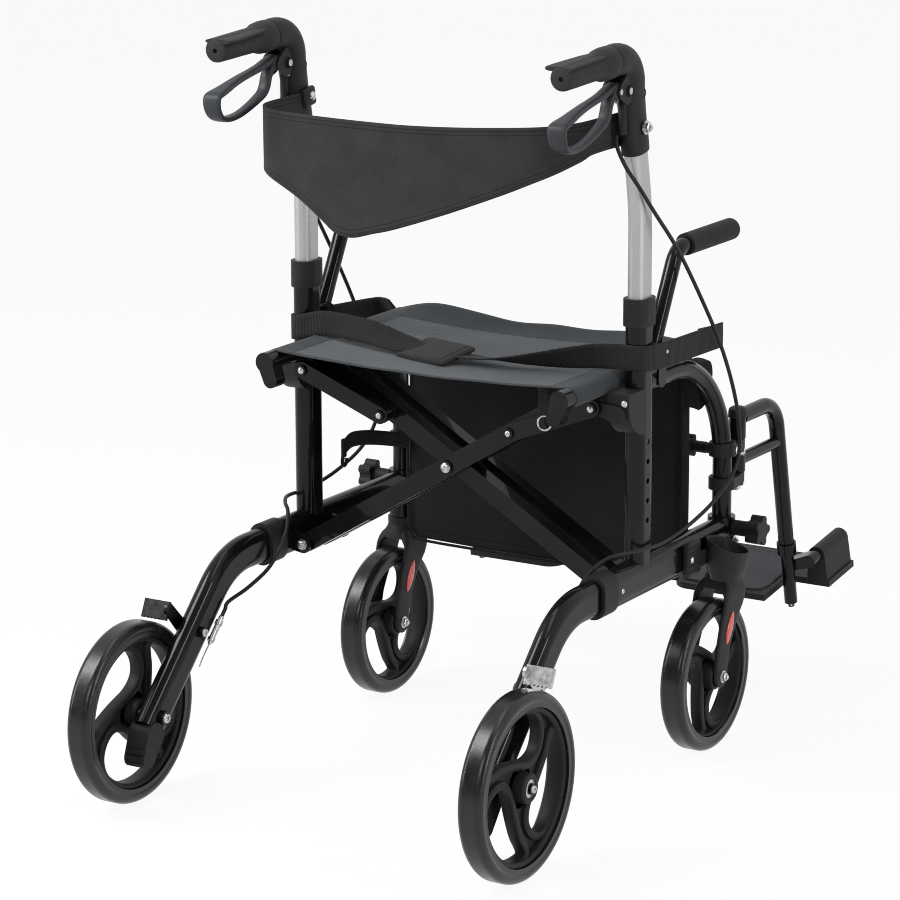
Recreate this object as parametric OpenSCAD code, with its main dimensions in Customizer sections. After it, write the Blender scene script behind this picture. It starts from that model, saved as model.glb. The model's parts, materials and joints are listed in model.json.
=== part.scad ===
// Folding rollator transport chair: two side frames on four wheels, joined by a
// crossed brace under a sling seat, with telescopic push handles, loop brakes,
// a backrest strap, flip-up armrests and swing-away footrests.
// Each side piece is modelled once, on the right, and mirrored for the left.
// +X is the pusher's right, +Y is forward, Z is up from the floor. Inside the
// modules y is measured from the axis of the rear posts.

/* [Side frames] */
// Distance from the middle plane to each side frame
frame_x = 243; // [238:1:250]
// Height of the lower rail's axis
rail_z = 278; // [274:1:284]
// Width of the lower rail
rail_w = 30; // [29:0.5:31]
// Height of the lower rail
rail_h = 50; // [48:1:53]
// Length of the lower rail behind the post
rail_rear = 92; // [86:1:98]
// Wall of the frame tubes
wall = 2; // [1.6:0.1:2.2]
// Width of the rear post
post_w = 28; // [27:0.5:29]
// Depth of the rear post
post_d = 40; // [38:1:42]
// Height of the rear post's top
post_top = 618; // [610:1:626]
// Height of the lowest height-adjusting hole
hole_z = 352; // [345:1:360]
// Spacing of the height-adjusting holes
hole_pitch = 25; // [22:1:26]
// Number of height-adjusting holes
hole_count = 5; // [3:1:5]
// Diameter of the height-adjusting holes
hole_d = 7; // [5:0.5:8]
// Distance from the post forward to the front tube and caster stem
front_y = 230; // [226:1:234]
// Diameter of the front tube
front_d = 25; // [24:0.5:25.5]
// Height of the arch's straight top
arch_z = 523.5; // [518:0.5:528]
// Bend radius of the arch
arch_r = 147.5; // [140:0.5:150]
// Diameter of the caster socket
socket_d = 36; // [34:0.5:38]
// Height of the caster socket's lower face
socket_bottom = 240; // [238:0.5:242]
// Height of the caster socket's upper face
socket_top = 304; // [302:0.5:308]

/* [Rear legs] */
// Width of the rear leg
leg_w = 25.6; // [24.5:0.1:25.7]
// Height of the rear leg's section
leg_h = 45.6; // [44:0.1:45.7]
// Distance from the post back to the start of the leg's bend
leg_bend_y = 148; // [140:1:154]
// Bend radius of the leg
leg_r = 110; // [100:1:118]
// Angle that the leg turns down
leg_turn = 45; // [42:0.5:48]
// Length of the leg inside the lower rail
leg_spigot = 60; // [30:1:66]
// Length of the leg past the rear axle
leg_tail = 20; // [16:1:24]
// Length of the plastic collars
collar_l = 34; // [28:1:38]
// Thickness of the plastic collars
collar_t = 3; // [2:0.5:3.5]
// Length of the tipping pedal
pedal_l = 36; // [30:1:38]
// Width of the tipping pedal
pedal_w = 30; // [24:1:31]

/* [Wheels] */
// Distance from the middle plane to each rear wheel
wheel_x = 278.4; // [278:0.2:281]
// Radius of the rear wheels
rear_r = 115; // [112:0.5:117]
// Radius of the front wheels
front_r = 100; // [96:0.5:102]
// Width of the tyres
tyre_w = 33; // [30:0.5:33.5]
// Radial thickness of the tyres
tyre_t = 19; // [18.5:0.5:21]
// Radius of the tyre's shoulders
tyre_round = 9; // [7:0.5:9]
// Radial thickness of the rims
rim_t = 11; // [9:0.5:12]
// Width of the rims
rim_w = 25; // [22:0.5:28]
// Thickness of the spokes
spoke_t = 15; // [12:0.5:18]
// Width of the spokes
spoke_w = 15; // [12:0.5:17]
// Radius of the hubs
hub_r = 19; // [17:0.5:21]
// Length of the hubs
hub_l = 37; // [35:0.5:38]
// Radius of the wheel bearings
bearing_r = 11; // [10:0.5:12]
// Width of the wheel bearings
bearing_w = 7; // [6:0.5:8]
// Radius of the axles
axle_r = 5; // [4:0.5:6]
// Trail of the casters
trail = 40; // [36:1:44]
// Radius of the caster stem
stem_r = 8; // [7:0.5:9]
// Length of the caster stem inside its socket
stem_l = 52; // [44:1:56]
// Radius of the caster fork's crown
crown_r = 28; // [27:0.5:30]
// Height of the caster fork's crown
crown_h = 26; // [22:1:28]
// Thickness of the caster fork's legs
fork_t = 6; // [5:0.5:7]

/* [Folding brace] */
// Distance from the middle plane to the brace's lower pivots
brace_x = 214; // [212:0.5:214.5]
// Height of the brace's lower pivots
brace_z = 270; // [267:0.5:273]
// Distance from the middle plane to each seat tube
seat_x = 212.5; // [211:0.5:213]
// Height of the seat tubes
seat_z = 526.5; // [524:0.5:530]
// Diameter of the seat tubes
seat_d = 22; // [21:0.5:22.5]
// Length of the seat tubes behind the posts
seat_rear = 142; // [136:1:150]
// Length of the seat tubes in front of the posts
seat_front = 182; // [172:1:183]
// Height of the brace bars' section
bar_h = 24; // [22:0.5:25]
// Depth of each brace bar
bar_d = 20; // [18:0.5:20]
// Distance from one brace bar to the next
bar_pitch = 21; // [20.8:0.1:22]
// Rear face of the rearmost brace bar, behind the post axis
bar_rear = 56; // [54:0.5:57]
// Radius of the brace's lower pins
pin_r = 5; // [4:0.5:6]
// Radius of the brace's centre pin
centre_r = 6; // [5:0.5:7]
// Thickness of the pivot lugs
lug_t = 5; // [4:0.5:6]
// Distance from the middle plane to the outer pivot of each fold link
link_x = 211; // [210:0.5:212]
// Height of the outer pivot of each fold link
link_z = 501; // [499:0.5:501.5]
// Share of the upper half of the brace up to the inner end of each fold link
link_share = 0.445; // [0.42:0.005:0.46]
// Height of the fold links' section
link_h = 22; // [20:0.5:24]
// Thickness of the fold links' plates
link_t = 6.5; // [5:0.5:6.5]

/* [Handles] */
// Width of the handle tube
handle_w = 23.4; // [22.8:0.1:23.5]
// Depth of the handle tube
handle_d = 35.4; // [34:0.1:35.5]
// Height of the handle tube's lower end
handle_bottom = 430; // [400:1:440]
// Height where the handle tube starts to lean back
lean_z = 715; // [712:1:722]
// Bend radius of the handle tube
lean_r = 300; // [280:1:320]
// Angle that the handle leans back
lean = 11; // [9:0.5:12]
// Length of the handle's leaning column above its bend
column_l = 132; // [128:1:136]
// Length of the handle housing on that column
housing_l = 90; // [80:1:96]
// Wall of the handle housing
housing_t = 2.3; // [2:0.1:3]
// Bend radius of the handle housing's elbow
elbow_r = 36; // [34:0.5:40]
// Angle that the grip droops
droop = 3; // [1:0.5:5]
// Length of the grip
grip_l = 116; // [105:1:120]
// Radius of the grip
grip_r = 17; // [15.5:0.5:18]
// Radius of the bar inside the grip
grip_core_r = 11; // [10:0.5:12]
// Thickness of the loop lever
lever_t = 9; // [7:0.5:10]
// Width of the loop lever
lever_w = 23; // [20:0.5:26]
// Radius of the lever's pin
lever_pin_r = 3; // [2.5:0.5:4]

/* [Brakes] */
// Clearance of the brake shoe from the tyre
shoe_gap = 4; // [4:0.5:8]
// Height of the brake shoe's plate
shoe_h = 24; // [20:1:28]
// Thickness of the brake shoe's plate
shoe_t = 4; // [3:0.5:5]
// Angle of the brake shoe in front of the wheel's top
shoe_angle = 25; // [22:1:28]
// Distance along the leg from the axle up to the brake's pivot
shoe_reach = 124; // [118:1:130]
// Radius of the brake's pivot pin
shoe_pin_r = 4; // [3:0.5:5]
// Diameter of the brake cable's sheath
cable_d = 5; // [4:0.5:6]

/* [Armrests] */
// Distance from the post forward to the armrest's pivot
arm_y = 34; // [33:0.5:38]
// Height of the armrest's pivot
arm_z = 560; // [556:1:564]
// Angle of the armrest's tube from the vertical
arm_lean = 28; // [25:0.5:32]
// Height of the armrest's foam grip
arm_top = 678; // [670:1:690]
// Bend radius of the armrest's tube
arm_r = 35; // [30:1:40]
// Diameter of the armrest's tube
arm_d = 20; // [19:0.5:21]
// Length of the foam grip
foam_l = 126; // [110:1:135]
// Radius of the foam grip
foam_r = 14; // [13:0.5:15]

/* [Footrests] */
// Distance from the post forward to the footrest's hinge pins
hinge_y = 272; // [270:1:276]
// Radius of the footrest's hinge pins
hinge_r = 6; // [5:0.5:7]
// Height of the lower clamp
clamp_low = 340; // [336:1:341]
// Height of the upper clamp
clamp_high = 384; // [383:1:388]
// Thickness of the clamps
clamp_h = 14; // [12:0.5:15]
// Wall of the clamps
clamp_t = 5; // [4:0.5:6]
// Height of the hanger's top tube
hanger_z = 425; // [421:1:428]
// Height of the hanger's lower strut
strut_z = 368; // [367:0.5:370]
// Diameter of the hanger's tube
hanger_d = 21; // [20:0.5:22]
// Bend radius of the hanger
hanger_r = 45; // [40:1:48]
// Distance from the post forward to where the hanger's two lines meet
hanger_y = 380; // [374:1:386]
// Angle of the hanger's long tube from the vertical
hanger_lean = 12; // [10:0.5:14]
// Height of the lower end of the hanger's long tube
hanger_bottom = 206; // [203:1:210]
// Diameter of the sliding footrest tube
slider_d = 17.4; // [16:0.1:17.6]
// Height of the lower end of the sliding footrest tube
slider_bottom = 134; // [130:1:138]
// Length of the sliding tube inside the hanger
slider_in = 100; // [80:1:110]
// Distance from the post forward to the footplate's rear edge
plate_y = 388; // [384:1:392]
// Height of the footplate's rear edge
plate_z = 146; // [142:1:150]
// Angle that the footplate tips up in front
plate_tilt = 8; // [6:0.5:10]
// Depth of the footplate
plate_l = 152; // [140:1:158]
// Distance from the middle plane to the footplate's inner edge
plate_in = 86; // [80:1:96]
// Thickness of the footplate
plate_t = 9; // [7:0.5:10]
// Corner radius of the footplate
plate_round = 26; // [15:1:35]
// Distance from the middle plane to the footplate's hinge rod
rod_x = 273; // [272:0.5:275]
// Height of the footplate's hinge rod above the plate's underside
rod_z = 44; // [42:0.5:46]
// Radius of the footplate's hinge rod
rod_r = 6; // [5:0.5:7]
// Length of the footplate's hinge housing
flange_l = 78; // [70:1:82]

/* [Soft parts] */
// Thickness of the seat cloth
cloth_t = 2; // [1.5:0.1:2.2]
// Sag of the seat in the middle
seat_sag = 9; // [5:0.5:14]
// Depth of the backrest behind the handles
back_depth = 136; // [120:1:145]
// Height of the backrest's top edge
back_top = 852; // [846:1:856]
// Height of the backrest's left end
back_end_h = 77; // [70:1:90]
// Height of the backrest's right end
back_near_h = 24; // [18:1:40]
// Height of the backrest where it hangs lowest
back_mid_h = 147; // [135:1:160]
// Distance from the middle plane to where the backrest hangs lowest
back_low_x = 62; // [40:1:75]
// Half the width of the bag
bag_x = 208; // [195:1:210]
// Height of the bag's bottom
bag_bottom = 219; // [214:1:225]
// Height of the bag's top
bag_top = 511; // [500:1:512]
// Thickness of the bag
bag_t = 22; // [15:1:24]
// Width of the belt
belt_w = 38; // [30:1:40]
// Thickness of the belt
belt_t = 2; // [1.5:0.1:2.5]
// Height of the belt's lower edge
belt_z = 544; // [542:0.5:548]

/* [Cane holder and knobs] */
// Width of the cane holder's cup
cup_w = 40; // [36:1:42]
// Length of the cane holder's cup
cup_l = 62; // [54:1:66]
// Height of the cane holder's cup
cup_h = 58; // [50:1:62]
// Wall of the cane holder's cup
cup_t = 2.6; // [2:0.1:3]
// Height of the cane holder's bottom
cup_z = 240; // [238:1:244]
// Distance from the post forward to the cup's middle
cup_y = 168; // [160:1:172]
// Radius of the knobs' screws
screw_r = 4; // [3:0.5:5]
// Radius of the star knobs
star_r = 20; // [17:0.5:22]
// Length of the knobs
knob_l = 42; // [38:1:44]
// Height of the rail knob
knob_z = 290; // [286:1:292]

/* [Fits] */
// Radial clearance of pins and shafts that turn
run = 0.05; // [0.02:0.01:0.1]
// Clearance between pieces that are fixed together
fit = 0.1; // [0.05:0.01:0.15]
// Clearance between tubes that slide and pieces that pass each other
slide = 0.3; // [0.25:0.01:0.4]

/* [Hidden] */
$fn = 48;

black_paint = "#1b1b1d";
black_plastic = "#262628";
rubber_black = "#1d1d1e";
satin_silver = "#b9bbbd";
zinc = "#9a9b9c";
cloth_black = "#2c2e31";

// The leg's bend ends here, and the straight part runs on to the axle
leg_end_y = leg_bend_y + leg_r * sin(leg_turn);
leg_end_z = rail_z - leg_r * (1 - cos(leg_turn));
axle_y = leg_end_y + (leg_end_z - rear_r) / tan(leg_turn);
leg_run = (leg_end_z - rear_r) / sin(leg_turn) + leg_tail;
tail_y = leg_end_y + leg_run * cos(leg_turn);
tail_z = leg_end_z - leg_run * sin(leg_turn);
leg_face = frame_x + leg_w / 2;
shoe_y = axle_y - shoe_reach * cos(leg_turn);
shoe_z = rear_r + shoe_reach * sin(leg_turn);

// Casters
caster_y = front_y - trail;
crown_top = socket_bottom - slide;
fork_gap = hub_l / 2 + slide;

// The crossed brace: lower pivots, seat tubes and the point where the bars cross
brace_angle = atan2(seat_z - brace_z, seat_x + brace_x);
cross_z = brace_z + brace_x * tan(brace_angle);
low_a = [-brace_x, brace_z];
high_a = [seat_x, seat_z];
upper_half = seat_x / cos(brace_angle);
link_in = [upper_half * link_share * cos(brace_angle),
    cross_z + upper_half * link_share * sin(brace_angle)];
link_out = [link_x, link_z];
link_face = bar_rear + 0.5;
lug_front = bar_pitch * 3 + bar_d - bar_rear + 1;

// Handle column, elbow and grip
column_y = lean_r * (1 - cos(lean));
column_z = lean_z + lean_r * sin(lean);
elbow_y = column_y + column_l * sin(lean);
elbow_z = column_z + column_l * cos(lean);
elbow_cy = elbow_y + elbow_r * cos(lean);
elbow_cz = elbow_z - elbow_r * sin(lean);
grip_y = elbow_cy + elbow_r * sin(droop);
grip_z = elbow_cz + elbow_r * cos(droop);
lever_y = grip_y + 4;
lever_z = grip_z - 37;

// Armrest
arm_meet = arm_y + (arm_top - arm_z) * tan(arm_lean);
arm_tangent = arm_r * tan((90 - arm_lean) / 2);
arm_bend_y = arm_meet + arm_tangent;
arm_lug = front_d / 2 - wall + 0.8;

// Footrest
hanger_tangent = hanger_r * tan((90 - hanger_lean) / 2);
hanger_bend_y = hanger_y - hanger_tangent;
hanger_end_y = hanger_bend_y + hanger_r * cos(hanger_lean);
hanger_end_z = hanger_z - hanger_r * (1 - sin(hanger_lean));
hanger_run = (hanger_end_z - hanger_bottom) / cos(hanger_lean);
slider_run = (hanger_end_z - slider_bottom) / cos(hanger_lean);
flange_y = plate_l - flange_l;

// The floor point under the middle of the whole chair
y_mid = (plate_y + plate_l * cos(plate_tilt) - axle_y - rear_r) / 2;

// Route of the right brake cable's sheath, from the lever down to the rear leg
cable_route = [[235, -46, 838], [235, -46, 824], [246, -44, 800], [257, -28, 772],
    [263, -2, 740], [267, 54, 684], [271, 112, 612], [274, 160, 545],
    [275, 196, 480], [274, 216, 425], [272, 214, 380], [268, 170, 346],
    [266, 100, 326], [265, 30, 318], [262, -22, 320], [248, -50, 319],
    [232, -68, 312], [219, -94, 291], [218, -130, 258], [221, -176, 240],
    [225, -216, 230], [225, -224, 222], [225, -232, 214]];

module oval(w, h) {
    if (w > h) {
        square([w - h, h], center = true);
        for (s = [-1, 1]) translate([s * (w - h) / 2, 0]) circle(d = h);
    } else if (h > w) {
        square([w, h - w], center = true);
        for (s = [-1, 1]) translate([0, s * (h - w) / 2]) circle(d = w);
    } else {
        circle(d = w);
    }
}

// A bar with round ends, from radius r at p to radius s at q
module taper(p, r, q, s) {
    a = atan2(q[1] - p[1], q[0] - p[0]);
    b = acos((r - s) / norm(q - p));
    up = [cos(a + b), sin(a + b)];
    down = [cos(a - b), sin(a - b)];
    translate(p) circle(r);
    translate(q) circle(s);
    polygon([p + r * up, q + s * up, q + s * down, p + r * down]);
}

// Lines at an even distance from a list of points, open or closed
function unit(v) = v / norm(v);
function normal(p, q) = unit([p[1] - q[1], q[0] - p[0]]);
function mitre(a, b) = unit(a + b) / (unit(a + b) * a);
function beside(p, d) = let (last = len(p) - 1) [for (i = [0 : last]) p[i] + d * mitre(
    normal(p[max(i, 1) - 1], p[max(i, 1)]),
    normal(p[min(i, last - 1)], p[min(i, last - 1) + 1]))];
function around(p, d) = let (n = len(p)) [for (i = [0 : n - 1])
    p[i] + d * mitre(normal(p[(i + n - 1) % n], p[i]), normal(p[i], p[(i + 1) % n]))];
function backwards(p) = [for (i = [len(p) - 1 : -1 : 0]) p[i]];
function mirrored(p) = concat(p, [for (i = [len(p) - 2 : -1 : 0]) [-p[i][0], p[i][1]]]);

// Points of a smooth curve through a list of points, a few to each span
function on_span(p, q, r, s, t) = 0.5 * (2 * q + (r - p) * t
    + (2 * p - 5 * q + 4 * r - s) * t * t + (3 * q - p - 3 * r + s) * t * t * t);
function smooth(points, steps) = [
    for (i = [0 : len(points) - 2], j = [0 : steps - 1])
        on_span(points[max(i - 1, 0)], points[i], points[i + 1],
            points[min(i + 2, len(points) - 1)], j / steps),
    points[len(points) - 1]];
function smooth_loop(points, steps) = let (n = len(points)) [
    for (i = [0 : n - 1], j = [0 : steps - 1])
        on_span(points[(i + n - 1) % n], points[i], points[(i + 1) % n],
            points[(i + 2) % n], j / steps)];

// A strip of even width along a list of points
module strip(points, w) {
    polygon(concat(beside(points, w / 2), backwards(beside(points, -w / 2))));
}

module along_x(from, to) {
    translate([from, 0, 0]) rotate([90, 0, 90]) linear_extrude(to - from) children();
}

module along_y(from, to) {
    translate([0, to, 0]) rotate([90, 0, 0]) linear_extrude(to - from) children();
}

module pin_x(from, to, r) {
    translate([from, 0, 0]) rotate([0, 90, 0]) cylinder(h = to - from, r = r);
}

module pin_y(from, to, r) {
    translate([0, from, 0]) rotate([-90, 0, 0]) cylinder(h = to - from, r = r);
}

// A tube bend in the plane of a side frame, its angles counted from +Y to +Z
module bend(r, from, to) {
    rotate([90, 0, 90]) rotate([0, 0, from])
        rotate_extrude(angle = to - from) translate([r, 0]) children();
}

module rail_blank(clear) {
    translate([frame_x, 0, rail_z]) along_y(-rail_rear, front_y)
        oval(rail_w + 2 * clear, rail_h + 2 * clear);
}

module post_blank(clear) {
    translate([frame_x, 0, rail_z]) linear_extrude(post_top - rail_z)
        oval(post_w + 2 * clear, post_d + 2 * clear);
}

module rear_post() {
    color(black_paint) difference() {
        post_blank(0);
        translate([frame_x, 0, rail_z - 1]) linear_extrude(post_top - rail_z + 2)
            oval(post_w - 2 * wall, post_d - 2 * wall);
        rail_blank(fit);
        for (i = [0 : hole_count - 1]) translate([0, 0, hole_z + i * hole_pitch])
            pin_x(frame_x, frame_x + post_w, hole_d / 2);
    }
}

// The lower rail, with the caster socket and the lugs and pin of the brace
module lower_rail() {
    color(black_paint) {
        difference() {
            union() {
                rail_blank(0);
                translate([frame_x, front_y, socket_bottom])
                    cylinder(d = socket_d, h = socket_top - socket_bottom);
                for (y = [-bar_rear - 1 - lug_t, lug_front]) along_y(y, y + lug_t)
                    taper([brace_x, brace_z], bar_h / 2, [frame_x, rail_z], rail_w / 2);
            }
            translate([frame_x, 0, rail_z]) along_y(-rail_rear - 1, front_y - socket_d / 2)
                oval(rail_w - 2 * wall, rail_h - 2 * wall);
            translate([frame_x, front_y, socket_bottom - 1])
                cylinder(r = stem_r + run, h = stem_l + 2);
            translate([0, front_y, knob_z])
                pin_x(frame_x + stem_r + 2, frame_x + socket_d, screw_r + run);
        }
        translate([brace_x, 0, brace_z])
            pin_y(-bar_rear - 1 - lug_t, lug_front + lug_t, pin_r);
    }
}

module arch_blank(d) {
    translate([frame_x, 0, arch_z]) along_y(0, front_y - arch_r) circle(d = d);
    translate([frame_x, front_y - arch_r, arch_z - arch_r]) bend(arch_r, 0, 90)
        circle(d = d);
    translate([frame_x, front_y, socket_top])
        cylinder(d = d, h = arch_z - arch_r - socket_top);
}

// The front tube, bent back to the post, with the armrest's lugs and pin
module front_arch() {
    lug_w = 3;
    color(black_paint) {
        difference() {
            arch_blank(front_d);
            arch_blank(front_d - 2 * wall);
            post_blank(fit);
        }
        difference() {
            for (x = [frame_x - arm_lug - lug_w, frame_x + arm_lug]) along_x(x, x + lug_w)
                taper([arm_y, arm_z], arm_d / 2 - 1, [arm_y + 2, arch_z], arm_d / 2);
            arch_blank(front_d + 2 * fit);
        }
        translate([0, arm_y, arm_z])
            pin_x(frame_x - arm_lug - lug_w, frame_x + arm_lug + lug_w, screw_r);
    }
}

module leg_blank(clear, w, h) {
    translate([frame_x, 0, rail_z]) along_y(-leg_bend_y, -rail_rear + leg_spigot)
        oval(w + 2 * clear, h + 2 * clear);
    translate([frame_x, -leg_bend_y, rail_z - leg_r]) bend(leg_r, 90, 90 + leg_turn)
        oval(h + 2 * clear, w + 2 * clear);
    translate([frame_x, -leg_end_y, leg_end_z]) rotate([leg_turn, 0, 0])
        along_y(-leg_run, 0) oval(w + 2 * clear, h + 2 * clear);
}

// The rear leg, with its axle bolt and the brake's pivot pin
module rear_leg() {
    color(black_paint) difference() {
        leg_blank(0, leg_w, leg_h);
        leg_blank(0, leg_w - 2 * wall, leg_h - 2 * wall);
        translate([0, -axle_y, rear_r])
            pin_x(frame_x - leg_w, frame_x + leg_w, axle_r + fit);
        translate([0, -shoe_y, shoe_z])
            pin_x(frame_x - leg_w, frame_x + leg_w, shoe_pin_r + fit);
    }
    color(zinc) {
        translate([0, -axle_y, rear_r]) {
            pin_x(frame_x - leg_w / 2 - fit - 6, wheel_x + hub_l / 2 + 3, axle_r);
            pin_x(frame_x - leg_w / 2 - fit - 6, frame_x - leg_w / 2 - fit, axle_r + 4);
            pin_x(leg_face + fit, wheel_x - hub_l / 2 - slide, axle_r + 4);
            pin_x(wheel_x + hub_l / 2 + slide, wheel_x + hub_l / 2 + 3, axle_r + 2);
        }
        translate([0, -shoe_y, shoe_z]) {
            pin_x(frame_x - leg_w / 2 - fit - 5, leg_face + slide + shoe_t, shoe_pin_r);
            pin_x(frame_x - leg_w / 2 - fit - 5, frame_x - leg_w / 2 - fit, shoe_pin_r + 3);
        }
    }
}

module post_collar() {
    difference() {
        translate([frame_x, 0, post_top - collar_l + 14]) linear_extrude(collar_l)
            oval(post_w + 2 * collar_t, post_d + 2 * collar_t);
        post_blank(fit);
        translate([frame_x, 0, rail_z]) linear_extrude(post_top)
            oval(handle_w + 2 * slide, handle_d + 2 * slide);
    }
}

module leg_collar() {
    difference() {
        translate([frame_x, 0, rail_z]) along_y(-rail_rear - collar_l + 12, -rail_rear + 12)
            oval(rail_w + 2 * collar_t, rail_h + 2 * collar_t);
        rail_blank(fit);
        leg_blank(fit, leg_w, leg_h);
    }
}

// The half-round saddle on the post, with the arm that carries the fold link
module seat_saddle() {
    saddle_r = 42;
    saddle_top = link_z + 20;
    arm_front = link_face - 0.5 - 8;
    difference() {
        union() {
            along_x(frame_x - post_w / 2 - 1, frame_x + post_w / 2 + 1) {
                translate([-saddle_r - post_d / 4, saddle_top - 15])
                    square([saddle_r, 15]);
                intersection() {
                    translate([-post_d / 4, saddle_top - 15]) circle(saddle_r);
                    translate([-saddle_r - post_d / 4, saddle_top - 15 - saddle_r])
                        square([saddle_r, saddle_r]);
                }
            }
            along_y(-link_face + 0.5, -arm_front)
                taper(link_out, link_h / 2 - 3.5, [frame_x, link_z - 6], link_h / 2);
        }
        post_blank(fit);
        translate([link_x, 0, link_z]) pin_y(-link_face - 1, -arm_front + 1, screw_r + run);
    }
}

// The ribbed foot pedal on the leg's lower end, for tipping the chair up a kerb
module tipping_pedal() {
    root = [-tail_y, tail_z];
    tip = root + pedal_l * [-0.5, -0.86];
    difference() {
        along_x(frame_x - pedal_w / 2, frame_x + pedal_w / 2)
            taper(root + [-3, -5], 17, tip, 12);
        leg_blank(fit, leg_w, leg_h);
        for (i = [0 : 3]) translate([0, tip[0] - 12 + i * 2, tip[1] - 2 + i * 8])
            pin_x(frame_x - pedal_w / 2 + 3, frame_x + pedal_w / 2 - 3, 1.6);
    }
}

module frame_mouldings() {
    color(black_plastic) {
        post_collar();
        leg_collar();
        seat_saddle();
        tipping_pedal();
    }
}

// Two clamps on the front tube, with the footrest's hinge pins
module footrest_clamps() {
    pin_tops = [strut_z + hanger_d / 2 - 1, hanger_z + hanger_d / 2 + 1];
    head = 4;
    boss_x = frame_x - front_d / 2 - clamp_t;
    color(black_plastic) difference() {
        union() {
            for (z = [clamp_low, clamp_high]) translate([0, 0, z]) linear_extrude(clamp_h)
                taper([frame_x, front_y], front_d / 2 + clamp_t, [frame_x, hinge_y], hinge_r + 4);
            translate([0, front_y, clamp_high + clamp_h / 2])
                pin_x(boss_x - 6, boss_x + clamp_t, clamp_h / 2);
        }
        arch_blank(front_d + 2 * fit);
        translate([0, front_y, clamp_high + clamp_h / 2])
            pin_x(boss_x - 10, boss_x + 2, screw_r + run);
        for (z = [clamp_low, clamp_high]) translate([frame_x, hinge_y, z - 1])
            cylinder(r = hinge_r + fit, h = clamp_h + 2);
    }
    color(zinc) for (i = [0, 1]) {
        z = [clamp_low, clamp_high][i];
        translate([frame_x, hinge_y, z - head])
            cylinder(r = hinge_r, h = pin_tops[i] - z + head);
        translate([frame_x, hinge_y, z - head]) cylinder(r = hinge_r + 3, h = head - fit);
    }
}

// A star knob on its screw, pointing along +X from its seat
module star_knob(screw) {
    lobes = 5;
    head = knob_l * 0.42;
    color(black_plastic) {
        pin_x(-screw, 1, screw_r);
        pin_x(0, knob_l - head + 1, star_r * 0.5);
        along_x(knob_l - head, knob_l) {
            circle(star_r * 0.7);
            for (i = [0 : lobes - 1]) rotate(i * 360 / lobes)
                taper([0, 0], star_r * 0.45, [star_r * 0.72, 0], star_r * 0.28);
        }
    }
}

module rail_knob() {
    translate([frame_x + socket_d / 2 + slide, front_y, knob_z]) star_knob(6);
}

module clamp_knob() {
    seat = frame_x - front_d / 2 - clamp_t - 6 - slide;
    translate([seat, front_y, clamp_high + clamp_h / 2])
        mirror([1, 0, 0]) scale(0.75) star_knob(4);
}

// The silver tube that slides in the post, bent back at the top
module handle_blank(clear, w, d) {
    translate([frame_x, 0, handle_bottom]) linear_extrude(lean_z - handle_bottom)
        oval(w + 2 * clear, d + 2 * clear);
    translate([frame_x, -lean_r, lean_z]) bend(lean_r, 0, lean)
        oval(d + 2 * clear, w + 2 * clear);
    translate([frame_x, -column_y, column_z]) rotate([lean, 0, 0])
        linear_extrude(column_l - 3) oval(w + 2 * clear, d + 2 * clear);
}

module handle_tube() {
    color(satin_silver) difference() {
        handle_blank(0, handle_w, handle_d);
        handle_blank(0, handle_w - 2 * wall, handle_d - 2 * wall);
    }
}

// The moulded housing: a sleeve on the tube, an elbow, the grip's bar, the
// lever's cheeks with their pin, and the cable's barrel
module handle_housing() {
    w = handle_w + 2 * housing_t;
    d = handle_d + 2 * housing_t;
    cheek_in = lever_w / 2 - 2.5 + slide;
    cheek_t = 3;
    color(black_plastic) {
        difference() {
            union() {
                translate([frame_x, -column_y, column_z]) rotate([lean, 0, 0])
                    translate([0, 0, column_l - housing_l]) linear_extrude(housing_l)
                        oval(w, d);
                translate([frame_x, -elbow_cy, elbow_cz])
                    bend(elbow_r, lean, 90 + droop) oval(d + 1, w + 1);
                translate([frame_x, -grip_y, grip_z]) rotate([droop, 0, 0]) {
                    pin_y(-14, 4, grip_r + 1.5);
                    pin_y(-grip_l - 12, 0, grip_core_r);
                }
                for (x = [frame_x - cheek_in - cheek_t, frame_x + cheek_in])
                    along_x(x, x + cheek_t)
                        taper([-lever_y, lever_z], 7, [-elbow_y - 4, elbow_z - 8], 14);
                translate(cable_route[0] + [0, 0, 2 * slide]) cylinder(r = cable_d / 2 + 3, h = 42);
            }
            handle_blank(fit, handle_w, handle_d);
            translate([0, -lever_y, lever_z])
                pin_x(frame_x - cheek_in, frame_x + cheek_in, 10);
        }
        translate([0, -lever_y, lever_z])
            pin_x(frame_x - cheek_in - cheek_t, frame_x + cheek_in + cheek_t, lever_pin_r);
    }
}

// The rubber grip, with a thumb rest on its end
module grip() {
    root = 14 + fit;
    color(rubber_black) translate([frame_x, -grip_y, grip_z]) rotate([droop, 0, 0])
        difference() {
            union() {
                pin_y(-root - grip_l, -root, grip_r);
                pin_y(-root - grip_l, -root - grip_l + 5, grip_r + 0.8);
                translate([0, -root - grip_l + 8, grip_r - 2]) linear_extrude(4)
                    oval(grip_r * 2.2, 16);
            }
            pin_y(-grip_l - 12 - fit, 0, grip_core_r + fit);
            pin_y(-root - grip_l - 1, -root, 2);
        }
}

// The loop lever that hangs under the grip
module brake_lever() {
    loop = smooth_loop([[-8, 2], [-40, -4], [-76, -9], [-128, -25], [-138, -34],
        [-139, -48], [-126, -60], [-80, -58], [-32, -38], [-14, -22], [-3, -7]], 4);
    half = lever_w / 2;
    color(black_plastic) difference() {
        along_x(frame_x - half, frame_x + half) translate([-lever_y, lever_z]) {
            difference() {
                polygon(around(loop, -lever_t / 2));
                polygon(around(loop, lever_t / 2));
            }
            circle(9);
        }
        translate([0, -lever_y, lever_z]) {
            pin_x(frame_x - half - 1, frame_x + half + 1, lever_pin_r + run);
            pin_x(frame_x - half - 1, frame_x - half + 2.5, 18);
            pin_x(frame_x + half - 2.5, frame_x + half + 1, 18);
        }
    }
}

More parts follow.
